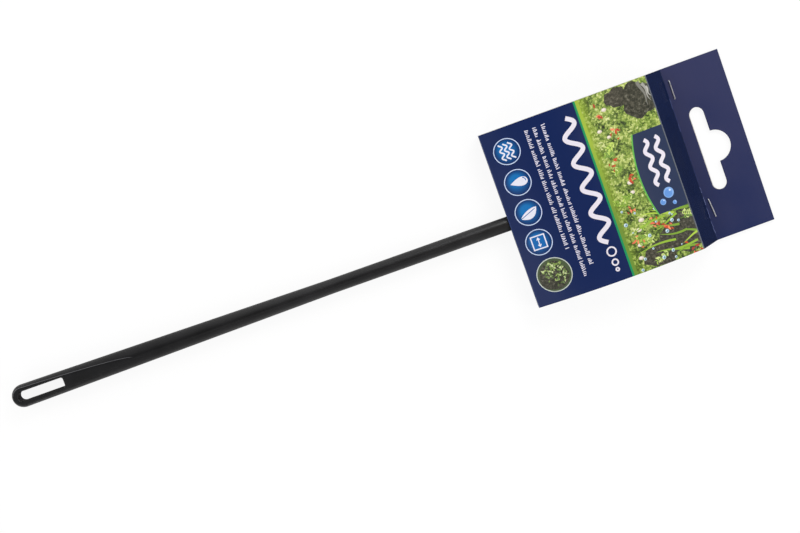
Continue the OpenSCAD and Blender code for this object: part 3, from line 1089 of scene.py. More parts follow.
    def seam(self, name: str, node: str, sign: int) -> None:
        """Builds one side seam: a rolled band with an overlock thread that zigzags over it.

        Args:
            name: The piece's name.
            node: The node that it replaces.
            sign: 1 for the left side and -1 for the right.
        """
        x, outer = self.hoop.middle, self.hoop.width / 2 - self.strip_w
        y = np.linspace(outer - self.pleat_w + 0.2, outer - 0.6, 40)
        base = self.hoop.axis_z - self.hem_r
        path = stack(x + 0.12 * np.sin(y * 1.9), sign * y, base + 0.16)
        radius = self.seam_w / 2 * (1 - 0.08 * np.sin(y * 5))
        shell = Shell()
        band = tube(PLACE.net(path), np.array([1.0, 0.0, 0.0]), radius, 12, 0.24)
        closed_tube(shell, band, along=14)
        t = np.linspace(0, 1, 181)
        swing = 2 / math.pi * np.arcsin(np.sin(TURN * self.zigzags * t))
        zig = stack(x + self.seam_w * 0.42 * swing, sign * (y[0] + (y[-1] - y[0]) * t),
                    base + 0.40 - 0.12 * swing**2)
        thread = tube(PLACE.net(zig), np.array([0.0, 1.0, 0.0]), self.overlock_r, 6)
        closed_tube(shell, thread, finish=1, along=40)
        made = shell.piece(name, [self.finishes.tape, self.finishes.thread])
        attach(made, Body.NET.value)
        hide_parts(node)
        self.parts.append(made)

    def build(self) -> None:
        """Builds all the soft pieces and dresses the hoop's wire and coating."""
        self.hem()
        self.stitches()
        self.seam("side_seam_left", "bag_seam_left", 1)
        self.seam("side_seam_right", "bag_seam_right", -1)
        self.bag()
        dress("hoop_wire", self.finishes.wire)
        dress("hoop_coating", self.finishes.coating)


@dataclass(frozen=True)
class Ink:
    """A printed shape: its outline in card millimetres, its colour and its texture."""

    outline: Array
    colour: str
    grain: Grain = Grain.PLAIN


def rectangle(u0: float, v0: float, u1: float, v1: float) -> Array:
    """A rectangle's corners."""
    return np.array([[u0, v0], [u1, v0], [u1, v1], [u0, v1]], float)


def disc(u: float, v: float, r: Array | float, points: int = 40, flat: float = 1.0) -> Array:
    """A circle, an oval or a wobbly blob as a polygon.

    Args:
        u: Where its middle lies along the card.
        v: Where its middle lies across the card.
        r: Radius, or one for each point.
        points: Number of points.
        flat: Size across as a share of that along.

    Returns:
        The polygon's points.
    """
    way = ray(np.arange(points) * TURN / points) * np.broadcast_to(r, points)[:, None]
    return way * [1.0, flat] + [u, v]


def ribbon(path: Array, width: Array | float) -> Array:
    """A line with a width: the path moved to both sides by half the width.

    Args:
        path: Points.
        width: Its width, or one for each point.

    Returns:
        The polygon's points.
    """
    d = np.gradient(path, axis=0)
    d /= np.maximum(np.linalg.norm(d, axis=1, keepdims=True), 1e-9)
    side = stack(-d[:, 1], d[:, 0]) * (np.broadcast_to(width, len(path)) / 2)[:, None]
    return np.concatenate([path + side, (path - side)[::-1]])


def leaf(u: float, v: float, length: float, angle: float, width: float = 0.34,
         bend: float = 0.12) -> Array:
    """A pointed leaf: width sin(pi t)^0.8 on both sides of a midrib that bends by sin(pi t).

    Args:
        u: Where its stalk lies along the card.
        v: Where its stalk lies across the card.
        length: Its length.
        angle: Its direction in radians.
        width: Its width as a share of its length.
        bend: The midrib's bend as a share of its length.

    Returns:
        The polygon's points.
    """
    t = np.linspace(0, 1, 9)
    arc = np.sin(math.pi * t)
    mid, half = stack(t, bend * arc) * length, stack(0.0, width * length / 2 * arc**0.8)
    return turned(np.concatenate([mid + half, (mid - half)[-2:0:-1]]), angle) + [u, v]


@dataclass
class FrontPrint:
    """The front panel's print. Its place, colours and scale follow the printed card: a dark blue
    ground, a planted band by the roof, a plate in it, a row of round signs by the spine and pale
    ornament between. The motifs are plain ones of this part's own: waves, bubbles, leaves, stones.
    """

    length: float = 84.2
    navy: str = "102250"
    pale: str = "dcd7e1"
    sign_pale: str = "dcdde8"
    rng: np.random.Generator = field(default_factory=lambda: np.random.default_rng(7))
    inks: list[Ink] = field(default_factory=list)

    def put(self, outline: Array, colour: str, grain: Grain = Grain.PLAIN) -> None:
        """Adds a shape over those already there."""
        self.inks.append(Ink(outline, colour, grain))

    def stones(self) -> None:
        """The band's moss and lime border, four stones, grey streaks and pale pebbles."""
        rng = self.rng
        self.put(rectangle(49.0, -1, self.length + 1, 89), "86a046", Grain.MOSS)
        for start in np.arange(-1.0, 89.0, 3.0):
            shade = between("99b13e", "6a8935", min(max((start - 18) / 44, 0.0), 1.0))
            self.put(rectangle(47.4, start, 49.0, start + 3.0), shade)
        self.put(rectangle(46.4, -1, 47.4, 89), "1c8a55")
        t = np.arange(30) * TURN / 30
        for u, v, a, b, turn in ((77.5, 9.5, 9.5, 8.5, 0.3), (66.5, 5.0, 5.5, 4.6, -0.2),
                                 (76.0, 76.5, 10.5, 10.0, 0.5), (62.5, 82.5, 8.0, 6.0, 0.1)):
            r = 1 + 0.10 * np.sin(3 * t + u) + 0.06 * np.sin(7 * t + v) + rng.normal(0, 0.02, 30)
            self.put(turned(disc(0, 0, a * r, 30, b / a), turn) + [u, v], "48473a", Grain.STONE)
        t = np.linspace(0, 1, 9)
        for u, v, long, wide, shade in ((79.5, 1.5, 12.0, 1.7, "7b7a72"),
                                        (81.2, 3.0, 9.0, 1.5, "9c9b94"),
                                        (82.3, 5.0, 6.0, 0.9, "b4b3ad")):
            path = stack(u + 1.6 * t + 0.5 * np.sin(7 * t + u), v + long * t)
            self.put(ribbon(path, wide * (1.1 - t)), shade)
        for _ in range(9):
            u, v, r = rng.uniform(50.5, 60), rng.uniform(3, 85), rng.uniform(0.8, 1.9)
            self.put(disc(u, v, r, 14, 0.7), "cfc3b4")
            self.put(disc(u - 0.15, v - 0.2, 0.6 * r, 14, 2 / 3), "e4dccf")

    def plants(self) -> None:
        """The band's leafy stems, ribbon leaves and red sprigs, and the bubbles over them."""
        rng = self.rng
        end = self.length + 1
        greens = ("5f7f2f", "7fa23c", "9dbb4c", "b9cf62", "6f9440", "c9d884")
        for _ in range(15):
            u, v = rng.uniform(52, 83), rng.uniform(4, 86)
            aim = rng.uniform(-0.6, 0.6) + math.pi * rng.integers(0, 2)
            long = rng.uniform(5, 10)
            if u > 60 and v < 24:
                v += 24
            t = np.linspace(0, 1, 10)
            stem = stack(np.clip(u + long * t * math.cos(aim), 49.6, end),
                         v + long * t * math.sin(aim) + 0.8 * np.sin(2.2 * t))
            self.put(ribbon(stem, 0.28), greens[0])
            shade = greens[rng.integers(1, 6)]
            for k in range(2, 10):
                for turn in (-1, 1):
                    shape = leaf(*stem[k], rng.uniform(1.4, 2.4),
                                 aim + turn * rng.uniform(0.7, 1.1))
                    self.put(shape, shade if k % 3 else greens[rng.integers(1, 6)])
        for _ in range(16):
            v, lean = rng.uniform(56, 88), rng.uniform(-0.5, 0.5)
            t = np.linspace(0, 1, 14)
            root, long = rng.uniform(70, 86), rng.uniform(9, 20)
            blade = stack(np.clip(root - long * t, 50.0, end),
                          v + 5 * lean * t + 1.2 * np.sin(3 * t + v))
            self.put(ribbon(blade, 0.95 * (1 - t**2) + 0.12),
                     ("8cb038", "a8c545", "789c34")[rng.integers(0, 3)])
        for u, v in ((57, 10), (62, 21), (54.5, 33), (60.5, 45), (56, 57), (65.5, 66), (72, 70),
                     (54, 74), (79.5, 86)):
            for _ in range(6):
                shape = leaf(u + rng.normal(0, 1.5), v + rng.normal(0, 2.0),
                             rng.uniform(1.5, 2.8), rng.uniform(0, 6.28), 0.4)
                self.put(shape, ("c2482a", "d9694a", "a93a2b", "e58a5e")[rng.integers(0, 4)])
        for _ in range(26):
            u, v, r = rng.uniform(51, 82), rng.uniform(50, 87), rng.uniform(0.35, 0.95)
            self.put(disc(u, v, r, 14), "c9dfe9")
            self.put(disc(u + 0.08, v + 0.08, r * 0.68, 12), "6d93a4")
            self.put(disc(u - 0.3 * r, v - 0.3 * r, r * 0.22, 8), "f2f6f6")

    def plate(self) -> None:
        """The plate in the band: a blue field with a bowed side, two waves and three bubbles."""
        t = np.linspace(-1, 1, 21)
        bow, back = stack(65.3 + 3.2 * t**2, 44.5 + 20.1 * t), [[86, 64.6], [86, 24.4]]
        self.put(np.concatenate([bow - [0.7, 0.0], back]), "5fae48")
        self.put(np.concatenate([bow, back]), "24304d")
        v = np.linspace(28.6, 51.4, 60)
        for u in (72.9, 78.6):
            wave = u + 1.3 * np.sin((v - 28.6) * TURN / 7.6)
            self.put(ribbon(stack(wave, v), 1.9), self.pale)
        for u, at, r in ((76.2, 56.2, 2.6), (72.1, 59.6, 1.5), (77.6, 61.6, 1.0)):
            self.put(disc(u, at, r), "7ea6dc")
            self.put(disc(u - 0.1 * r, at + 0.1 * r, r * 0.74), "5e8ecf")
            self.put(disc(u + 0.35 * r, at - 0.35 * r, r * 0.2, 12), "c4d8f2")

    def title(self) -> None:
        """The pale ornament beside the band: a bold wave and three bubbles."""
        v = np.linspace(6.2, 68.5, 150)
        self.put(ribbon(stack(40.7 + 3.4 * np.sin((v - 6.2) * TURN / 12.46), v), 2.2), self.pale)
        for at, r in ((73.2, 2.5), (78.6, 1.8), (82.2, 1.1)):
            self.put(disc(40.7, at, r), self.pale)
            self.put(disc(40.7, at, r - 0.75), self.navy)

    def rows(self) -> None:
        """Three rows of tiny grass blades, in tufts of a few each."""
        rng = self.rng
        t = np.linspace(0, 1, 4)
        for u, end in ((21.7, 65.0), (25.7, 80.6), (29.9, 75.7)):
            v, left = 5.4, int(rng.integers(5, 12))
            while v < end:
                high, lean = rng.uniform(1.1, 2.1), rng.normal(0, 0.28)
                blade = stack(u - 1.0 + high * t, v + lean * t**2)
                self.put(ribbon(blade, 0.50 - 0.2 * t), "dad8e6")
                v += rng.uniform(0.72, 0.98)
                left -= 1
                if left == 0:
                    v, left = v + 0.9, int(rng.integers(4, 13))

    def signs(self) -> None:
        """Five round signs: ripples, a drop, a leaf, the hoop's width and water plants. Four are
        a thin pale ring round a blue field that pales towards one side."""
        rng = self.rng
        for v in (11.6, 27.2, 42.4, 57.6):
            self.put(disc(10.1, v, 6.4, 48), "c2d2ee")
            for share in np.linspace(0, 1, 12):
                blue = disc(10.1 - 0.6 * share, v - 1.2 * share, 6.0 - 3.4 * share, 44)
                self.put(blue, between("0b2a5c", "0e6aac", share**0.8))
        t = np.linspace(-4.1, 4.1, 25)
        for k in (-1, 0, 1):
            ripple = stack(10.1 + 2.3 * k + 0.8 * np.sin(t * 1.9), 11.6 + t)
            self.put(ribbon(ripple, 0.75), self.sign_pale)
        t = np.linspace(0, TURN, 36, endpoint=False)
        drop = stack(10.6 - 4.2 * np.cos(t), 27.2 + 2.9 * np.sin(t) * np.sin(t / 2) ** 1.2)
        self.put(drop, self.sign_pale)
        glint = [12.2, 27.2] - 1.75 * ray(np.linspace(1.9, 3.3, 12))
        self.put(ribbon(glint, 0.45), "1268ac")
        self.put(leaf(5.8, 44.6, 9.4, -0.42, 0.46, 0.1), self.sign_pale)
        t = np.linspace(0, 8, 8)
        self.put(ribbon(stack(5.4 + t, 44.8 - 0.42 * t), 0.35), "14639f")
        self.put(rectangle(6.6, 54.1, 13.6, 61.1), self.sign_pale)
        self.put(rectangle(7.2, 54.7, 13.0, 60.5), "1161a6")
        self.put(ribbon(np.array([[10.1, 55.6], [10.1, 59.6]]), 0.5), self.sign_pale)
        for s in (-1, 1):
            tip, foot = 57.6 + 2.5 * s, 57.6 + 1.1 * s
            self.put(np.array([[10.1, tip], [9.1, foot], [11.1, foot]]), self.sign_pale)
        self.put(disc(11.9, 74.8, 8.4, 56), "c3ccc4")
        self.put(disc(11.9, 74.8, 8.0, 56), "47553a")
        t = np.arange(40) * TURN / 40
        rock = 7.0 * (1 + 0.04 * np.sin(3 * t) + 0.02 * np.sin(5 * t + 1))
        self.put(disc(11.5, 75.2, rock), "2c3022", Grain.STONE)
        greens = ("566c38", "7b9449", "9bb066", "c3d096", "6b814e")
        for _ in range(150):
            a, far = rng.uniform(0, 6.28), 6.2 * math.sqrt(rng.uniform(0, 1))
            u, v = far * ray(a)
            if u - v > rng.uniform(-6.5, 2.0):
                shape = leaf(11.9 + u, 74.8 + v, rng.uniform(1.0, 1.7), rng.uniform(0, 6.28), 0.45)
                self.put(shape, greens[rng.integers(0, 5)])

    def draw(self) -> list[Ink]:
        """Draws everything in order.

        Returns:
            The shapes, first ones lowest.
        """
        self.put(rectangle(-1, -1, 86, 89), self.navy)
        self.stones()
        self.plants()
        self.plate()
        self.title()
        self.rows()
        self.signs()
        return self.inks


def inside(points: Array, outline: Array) -> Array:
    """Tells which points lie inside a closed line, by counting crossings to the right.

    Args:
        points: The points.
        outline: The line's points.

    Returns:
        A true or false for each point.
    """
    (x, y), (ax, ay), (bx, by) = points.T[..., None], outline.T, np.roll(outline, -1, 0).T
    cross = (ay > y) != (by > y)
    at = ax + (y - ay) / np.where(by == ay, 1e-12, by - ay) * (bx - ax)
    return (cross & (x < at)).sum(1) % 2 == 1


def triangles(loops: list[Array], lines: list[Array], marks: list[Array]) -> tuple[Array, Array]:
    """Cuts a flat board into triangles along its edges, its bends and what is printed on it.

    Args:
        loops: The board's outline, and then those of its holes.
        lines: Pairs of points, the ends of each bend.
        marks: Outlines of the printed shapes.

    Returns:
        The points, and three of their numbers for each triangle, anticlockwise.
    """
    edges, count = [], 0
    paths = [*loops, *marks, *lines]
    for path in paths:
        here = np.arange(len(path))
        edges.append(stack(here, np.roll(here, -1))[: 1 if len(path) == 2 else None] + count)
        count += len(path)
    found = delaunay_2d_cdt([Vector(p) for p in np.vstack(paths)], np.vstack(edges).tolist(), [],
                            0, 1e-4, False)
    flat = np.array([v[:] for v in found[0]], float)
    tri = np.array([f for f in found[2] if len(f) == 3], int)
    middle = flat[tri].mean(1)
    keep = inside(middle, loops[0])
    for hole in loops[1:]:
        keep &= ~inside(middle, hole)
    tri = tri[keep]
    first, second = (flat[tri[:, i]] - flat[tri[:, 0]] for i in (1, 2))
    area = first[:, 0] * second[:, 1] - first[:, 1] * second[:, 0]
    tri[area < 0] = tri[area < 0][:, ::-1]
    used, index = np.unique(tri[np.abs(area) > 1e-9], return_inverse=True)
    return flat[used], index.reshape(-1, 3)


@dataclass
class FoldedPath:
    """The outer face of a bent board, seen from its side: points and outward directions."""

    points: Array
    away: Array

    @property
    def run(self) -> Array:
        """Distance along the path to each point."""
        return travel(self.points)

    def place(self, s: Array, y: Array, deep: float) -> Array:
        """Puts points of the flat board on the folded one.

        Args:
            s: Distances along the path.
            y: Places across.
            deep: Depth under the face.

        Returns:
            Card points.
        """
        run = self.run
        x, z, dx, dz = [np.interp(s, run, v) for v in (*self.points.T, *self.away.T)]
        return stack(x - deep * dx, y, z - deep * dz)

    def facing(self, s: Array) -> Array:
        """Outward directions in the card's axes.

        Args:
            s: Distances along the path.

        Returns:
            A unit direction for each.
        """
        run = self.run
        dx, dz = [np.interp(s, run, v) for v in self.away.T]
        return stack(dx, 0.0, dz) / np.hypot(dx, dz)[..., None]


def corner(centre: Array, radius: float, start: float, stop: float,
           points: int = 8) -> tuple[Array, Array]:
    """An arc of a fold between two angles in degrees: its points and outward directions."""
    away = ray(np.radians(np.linspace(start, stop, points)))
    return centre + radius * away, away


def paint(mesh: Mesh, colour: Array, grain: Array) -> None:
    """Writes the ink and printed texture of a mesh's first faces. The others take no print.

    Args:
        mesh: The mesh.
        colour: The linear ink of each of those faces.
        grain: The number of each one's Grain.
    """
    total = len(mesh.polygons)
    count = np.zeros(total, np.int32)
    mesh.polygons.foreach_get("loop_total", count)
    ink = np.zeros((total, 4))
    ink[: len(colour)] = colour
    made = mesh.color_attributes.new("ink", "FLOAT_COLOR", "CORNER")
    made.data.foreach_set("color", np.repeat(ink, count, 0).astype(np.float32).ravel())
    for name, kind in (("moss", Grain.MOSS), ("stone", Grain.STONE)):
        share = np.zeros(total, np.float32)
        share[: len(grain)] = grain == kind.value
        mesh.attributes.new(name, "FLOAT", "FACE").data.foreach_set("value", share)


@dataclass
class Card:
    """The folded card: one printed board, bent at its creases, held by two staples."""

    finishes: Finishes
    width: float = 88.0
    board: float = 0.4
    front: float = 84.2
    roof: float = 10.3
    header: float = 29.7
    spine: float = 10.0
    crest: float = 13.6
    rise: float = 6.2
    lift: float = 0.65
    header_z: float = 1.15
    window: float = 13.4
    window_top: float = 9.0
    window_corner: float = 2.0
    slot_len: float = 42.0
    slot_w: float = 7.4
    slot_in: float = 6.3
    hump: float = 7.8
    slip: float = 0.4
    staple_w: float = 9.15
    staple_in: float = 2.5
    upper_y: float = 32.8
    lower_y: float = -28.1
    lower_turn: float = 5.0
    leg_hole: float = 0.405
    fold: float = 0.5
    foot_in: float = 0.7
    below_spine: float = 1.1
    past_spine: float = 0.75
    past_crest: float = 0.55
    crease: float = 0.2
    blue: str = "102250"
    # The roof's colour: the print painted darker, as shade on the sloping roof.
    dark: str = "091637"
    head: str = "14234f"

    @property
    def header_x(self) -> float:
        """Where the header starts."""
        return self.front + self.roof

    @property
    def end(self) -> float:
        """The card's whole length."""
        return self.header_x + self.header

    @property
    def lean(self) -> float:
        """The spine's lean in degrees: its foot stands further in than its top."""
        return math.degrees(math.atan2(self.foot_in, self.spine - self.below_spine - self.fold))

    @property
    def slope(self) -> float:
        """The roof's slope in degrees."""
        return math.degrees(math.atan2(self.crest - self.header_z - self.board, self.roof))

    def arch(self, x: Array | float) -> tuple[Array, Array]:
        """The front panel's circle.

        The chord joins the spine's top to the crest, and the circle stands a rise above it.

        Args:
            x: Places along the card.

        Returns:
            The circle's points and its outward directions, as x and z.
        """
        climb = self.crest - self.spine
        radius = math.hypot(self.front, climb) ** 2 / (8 * self.rise) + self.rise / 2
        tilt = math.atan2(climb, self.front)
        middle = np.array([self.front, self.spine + self.crest]) / 2
        centre = middle + (radius - self.rise) * np.array([math.sin(tilt), -math.cos(tilt)])
        away = (np.asarray(x) - centre[0]) / radius
        away = stack(away, np.sqrt(1 - away**2))
        return centre + radius * away, away

    def roof_start(self) -> tuple[Array, Array]:
        """Where the roof's flat part starts, and its outward direction, as x and z."""
        slope = math.radians(self.slope)
        return [self.front, self.crest] + self.past_crest * ray(-slope), ray(QUARTER - slope)

    def openings(self, slip: float) -> list[Array]:
        """Outlines of the openings in a header layer: the hanging slot, which is long with round
        ends and a hump on its far side, and four round holes for the staples' legs.

        Args:
            slip: How far the slot lies past its place.

        Returns:
            The outlines on the card's axes.
        """
        r, end = self.slot_w / 2, (self.slot_len - self.slot_w) / 2
        left = self.header_x + slip + self.slot_in
        round_end = [left + r, end] + r * ray(np.linspace(math.pi, 0, 20))
        hump = self.hump * ray(np.linspace(QUARTER, -QUARTER, 28))
        low = round_end[::-1] * [1.0, -1.0]
        holes = [np.concatenate([round_end, [left + self.slot_w, 0.0] + hump, low])]
        for y, turn in ((self.upper_y, 0.0), (self.lower_y, self.lower_turn)):
            for leg in (-self.staple_w / 2, self.staple_w / 2):
                u, v = turned(np.array([0.0, leg]), math.radians(turn))
                holes.append(disc(self.header_x + self.staple_in + u, y + v, self.leg_hole, 12))
        return holes

    def sheet(self, name: str, path: FoldedPath, holes: list[Array], inks: list[Ink]) -> Object:
        """Builds a board of even thickness along a folded path.

        The flat board is cut into triangles along its outline, its holes, the lines of the
        shapes printed on it and lines across it where it bends. Each triangle takes the ink on
        top at its middle. Both faces and the cut edges share their corners, and each face's
        direction comes from the path, so bends shade evenly.

        Args:
            name: The piece's name.
            path: The fold's side view.
            holes: Outlines that are cut out, as (distance along the path, place across).
            inks: Printed shapes, first ones lowest, on the same coordinates.

        Returns:
            The object.
        """
        run, half = path.run, self.width / 2
        outline = rectangle(0, -half, run[-1], half)
        low, high = outline[0], outline[2]
        drawn = [np.clip(ink.outline, low - 0.5, high + 0.5) for ink in inks]
        bends = [np.array([[s, -half - 1], [s, half + 1]]) for s in run[1:-1]]
        flat, tri = triangles([outline, *holes], bends, drawn)
        middle = flat[tri].mean(1)
        colour, grain = np.tile(linear(self.blue), (len(tri), 1)), np.zeros(len(tri), int)
        for shape, line in zip(inks, drawn):
            where = np.flatnonzero(((middle >= line.min(0)) & (middle <= line.max(0))).all(1))
            where = where[inside(middle[where], line)]
            colour[where], grain[where] = linear(shape.colour), shape.grain.value
        pairs = np.concatenate([tri[:, [0, 1]], tri[:, [1, 2]], tri[:, [2, 0]]])
        back = {tuple(e) for e in pairs[:, ::-1].tolist()}
        a, b = np.array([e for e in pairs.tolist() if tuple(e) not in back], int).T
        s, across = flat.T
        outer, inner = (PLACE.card(path.place(s, across, deep)) for deep in (0.0, self.board))
        normal = PLACE.card(path.place(s, across, 0.0) + path.facing(s)) - outer
        n, m, points = len(flat), len(tri), np.vstack([outer, inner])
        faces = np.concatenate([tri, tri[:, ::-1] + n, stack(b, a, a + n), stack(b, a + n, b + n)])
        slots = np.repeat([0, 1, 2], [m, m, 2 * len(a)])
        loops = faces.ravel()
        mesh = new_mesh(name, points, loops, np.arange(len(faces)) * 3, slots,
                        np.vstack([flat, flat])[loops])
        paint(mesh, colour, grain)
        v = points[faces]
        look = np.cross(v[:, 1] - v[:, 0], v[:, 2] - v[:, 0])[:, None]
        look = look / np.maximum(np.linalg.norm(look, axis=-1, keepdims=True), 1e-12)
        shade = np.concatenate([normal[tri], -normal[tri[:, ::-1]], np.repeat(look[2 * m :], 3, 1)])
        mesh.normals_split_custom_set(shade.reshape(-1, 3).tolist())
        return show(name, mesh, self.finishes.board)

    def strip(self, name: str, path: FoldedPath, colours: list[str]) -> Object:
        """Builds the narrow bend between two boards.

        Args:
            name: The piece's name.
            path: The bend's side view.
            colours: The ink of each band of faces along the path.

        Returns:
            The object.
        """
        bands = 44
        s, across = np.meshgrid(path.run, np.linspace(-0.5, 0.5, bands + 1) * self.width,
                                indexing="ij")
        uv, shell = stack(s, across), Shell()
        outer, inner = (PLACE.card(path.place(s, across, deep)) for deep in (0.0, self.board))
        shell.grid(outer, uv=uv, flip=True)
        shell.grid(inner, uv=uv, finish=1)
        for i in (0, -1):
            shell.grid(np.stack([outer[i], inner[i]]), finish=2)
            shell.grid(np.stack([outer[:, i], inner[:, i]]), finish=2)
        made = shell.piece(name, self.finishes.board, sharp=35)
        paint(made.data, np.repeat([linear(c) for c in colours], bands, 0), np.zeros(0))
        return made

    def back(self) -> None:
        """The back: its header, the panel on the table, and the spine up to its top fold."""
        slope, near = math.atan2(self.lift, self.roof), self.crease
        step = near * math.tan(slope)
        bend, bend_away = corner((self.foot_in + self.fold, self.fold), self.fold, -90,
                                 self.lean - 180, 7)
        points = [[self.end, self.lift], [self.header_x + near, self.lift],
                  [self.header_x - near, self.lift - step], [self.front + near, step],
                  [self.front - near, 0.0], *bend, [0.0, self.spine - self.below_spine]]
        down, tilt = ray(-QUARTER), ray(-QUARTER - slope)
        away = [down, down, tilt, tilt, down, *bend_away, bend_away[-1]]
        path = FoldedPath(np.array(points), np.array(away))
        run = path.run
        foot, top = run[-2], run[-2] + self.window_top - self.fold
        w, r = self.window / 2, self.window_corner
        upper = [top - r, w - r] + r * ray(np.linspace(QUARTER, 0, 7))
        upper = np.concatenate([[[foot - 0.25, w], [top - r, w]], upper[1:]])
        holes = [np.concatenate([upper, upper[:1:-1] * [1, -1], [[top - r, -w]],
                                 [[foot - 0.25, -w]]])]
        for loop in self.openings(self.slip):
            holes.append(stack(self.end - loop[:, 0], loop[:, 1])[::-1])
        plain = [Ink(rectangle(-1, -60, run[-1] + 1, 60), self.blue)]
        made = self.sheet("card_board_back", path, holes, plain)
        log.info("spine window from %.2f to %.2f", foot - 0.25, top)
        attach(made, Body.CARD.value)
        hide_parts("card_back_panel", "card_header_back", "card_spine")

    def front_board(self) -> None:
        """The arched front panel with its print."""
        start, stop = self.past_spine, self.front - self.past_crest
        x = np.linspace(start, stop, 60)
        path = FoldedPath(*self.arch(x))
        run = path.run
        inks = []
        for ink in FrontPrint(self.front, self.blue).draw():
            u, v = ink.outline.T
            s = np.interp(u, x, run, left=-0.5, right=run[-1] + 0.5)
            inks.append(Ink(stack(s, self.width / 2 - v), ink.colour, ink.grain))
        made = self.sheet("card_board_front", path, [], inks)
        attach(made, Body.FLAP.value)
        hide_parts("card_front_panel")

    def head_board(self) -> None:
        """The sloping roof and the front layer of the header. The roof is painted darker than the
        header, as shade, and pale marks are painted along the crease between them, as a highlight."""
        first, out = self.roof_start()
        top = self.header_z + self.board
        reach = self.fold * math.tan(math.radians(self.slope) / 2)
        bend, bend_in = corner((self.header_x + reach, top + self.fold), self.fold,
                               -90 - self.slope, -90, 6)
        path = FoldedPath(np.array([first, *bend, [self.end, top]]),
                          np.array([out, *-bend_in, [0.0, 1.0]]))
        run = path.run
        holes = [loop + [run[-1] - self.end, 0.0] for loop in self.openings(0.0)]
        rng = np.random.default_rng(5)
        y = np.arange(-46.0, 46.5, 0.7)
        ragged = rng.normal(0.0, 0.13, len(y)) + 0.14 * np.sin(0.21 * y)
        crease = stack(run[3] + np.clip(ragged, -0.3, 0.45), y)
        # The roof and its half of the crease are painted darker, as shade.
        edge = np.concatenate([crease, [[-1.0, 60.0], [-1.0, -60.0]]])
        inks = [Ink(rectangle(-1, -60, run[-1] + 1, 60), self.head), Ink(edge, self.dark)]
        # Pale marks painted along the crease, as a highlight.
        for low, high, shade in ((-41.0, -33.5, "66709a"), (-33.0, -27.0, "5a648e"),
                                 (-26.2, -21.0, "66709a"), (-20.0, -16.5, "525c88"),
                                 (12.0, 17.0, "3c4874"), (24.0, 29.0, "46527e")):
            inks.append(Ink(ribbon(crease[(y > low) & (y < high)], 0.24), shade))
        made = self.sheet("card_board_head", path, holes, inks)
        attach(made, Body.HEADER.value)
        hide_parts("card_roof", "card_header_front")

    def spine_fold(self) -> None:
        """The rounded bend between the spine and the front panel."""
        end, end_away = self.arch(self.past_spine)
        angle = math.degrees(math.atan2(end_away[1], end_away[0]))
        reach = self.fold * math.tan(math.radians(180 - angle) / 2)
        bend, away = corner((self.fold, self.spine - reach), self.fold, 180, angle)
        foot = ray(math.radians(self.lean - 180))
        path = FoldedPath(np.array([[0.0, self.spine - self.below_spine], *bend, end]),
                          np.array([foot, *away, end_away]))
        # Lighter bands painted where the bend turns, as cracked ink and a painted highlight.
        half = [self.blue, "26386a", "31426f", "3a4a74"]
        made = self.strip("card_spine_fold", path, [*half, *half[::-1], self.blue])
        ends = [[0.1, 0.0, self.spine - self.below_spine], [self.past_spine, 0.0, self.spine + 0.1]]
        a, b = PLACE.card(np.array(ends)) * MM
        tuple(a)
        tuple(b)
        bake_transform(made)

    def crest_fold(self) -> None:
        """The rounded bend between the front panel and the roof. Where it turns it is painted pale
        grey, as cracked print and a painted highlight, and towards the roof it is painted darker,
        as shade.
        """
        first, first_away = self.arch(self.front - self.past_crest)
        last, last_away = self.roof_start()
        start = math.degrees(math.atan2(first_away[1], first_away[0]))
        stop = 90 - self.slope
        middle, half = math.radians(start + stop) / 2, math.radians(start - stop) / 2
        centre = [self.front, self.crest] - self.fold / math.cos(half) * ray(middle)
        bend, away = corner(centre, self.fold, start, stop)
        path = FoldedPath(np.array([first, *bend, last]), np.array([first_away, *away, last_away]))
        # Pale grey where the bend turns, as cracked print and painted highlight, then the roof's
        # painted shade.
        crack_and_highlight = ["565c60", "6a7074", "8e9294", "7c8086", "48526e", "222f5a"]
        made = self.strip("card_crest_fold", path, [*crack_and_highlight, *[self.dark] * 3])
        ends = [[first[0], 0.0, first[1]], [last[0], 0.0, last[1]]]
        a, b = PLACE.card(np.array(ends)) * MM
        tuple(a)
        tuple(b)
        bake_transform(made)

    def build(self) -> None:
        """Builds the boards and their folds, and dresses the staples."""
        for make in (self.back, self.front_board, self.head_board, self.spine_fold,
                     self.crest_fold):
            make()
        dress("staple_upper", self.finishes.staple)
        dress("staple_lower", self.finishes.staple)


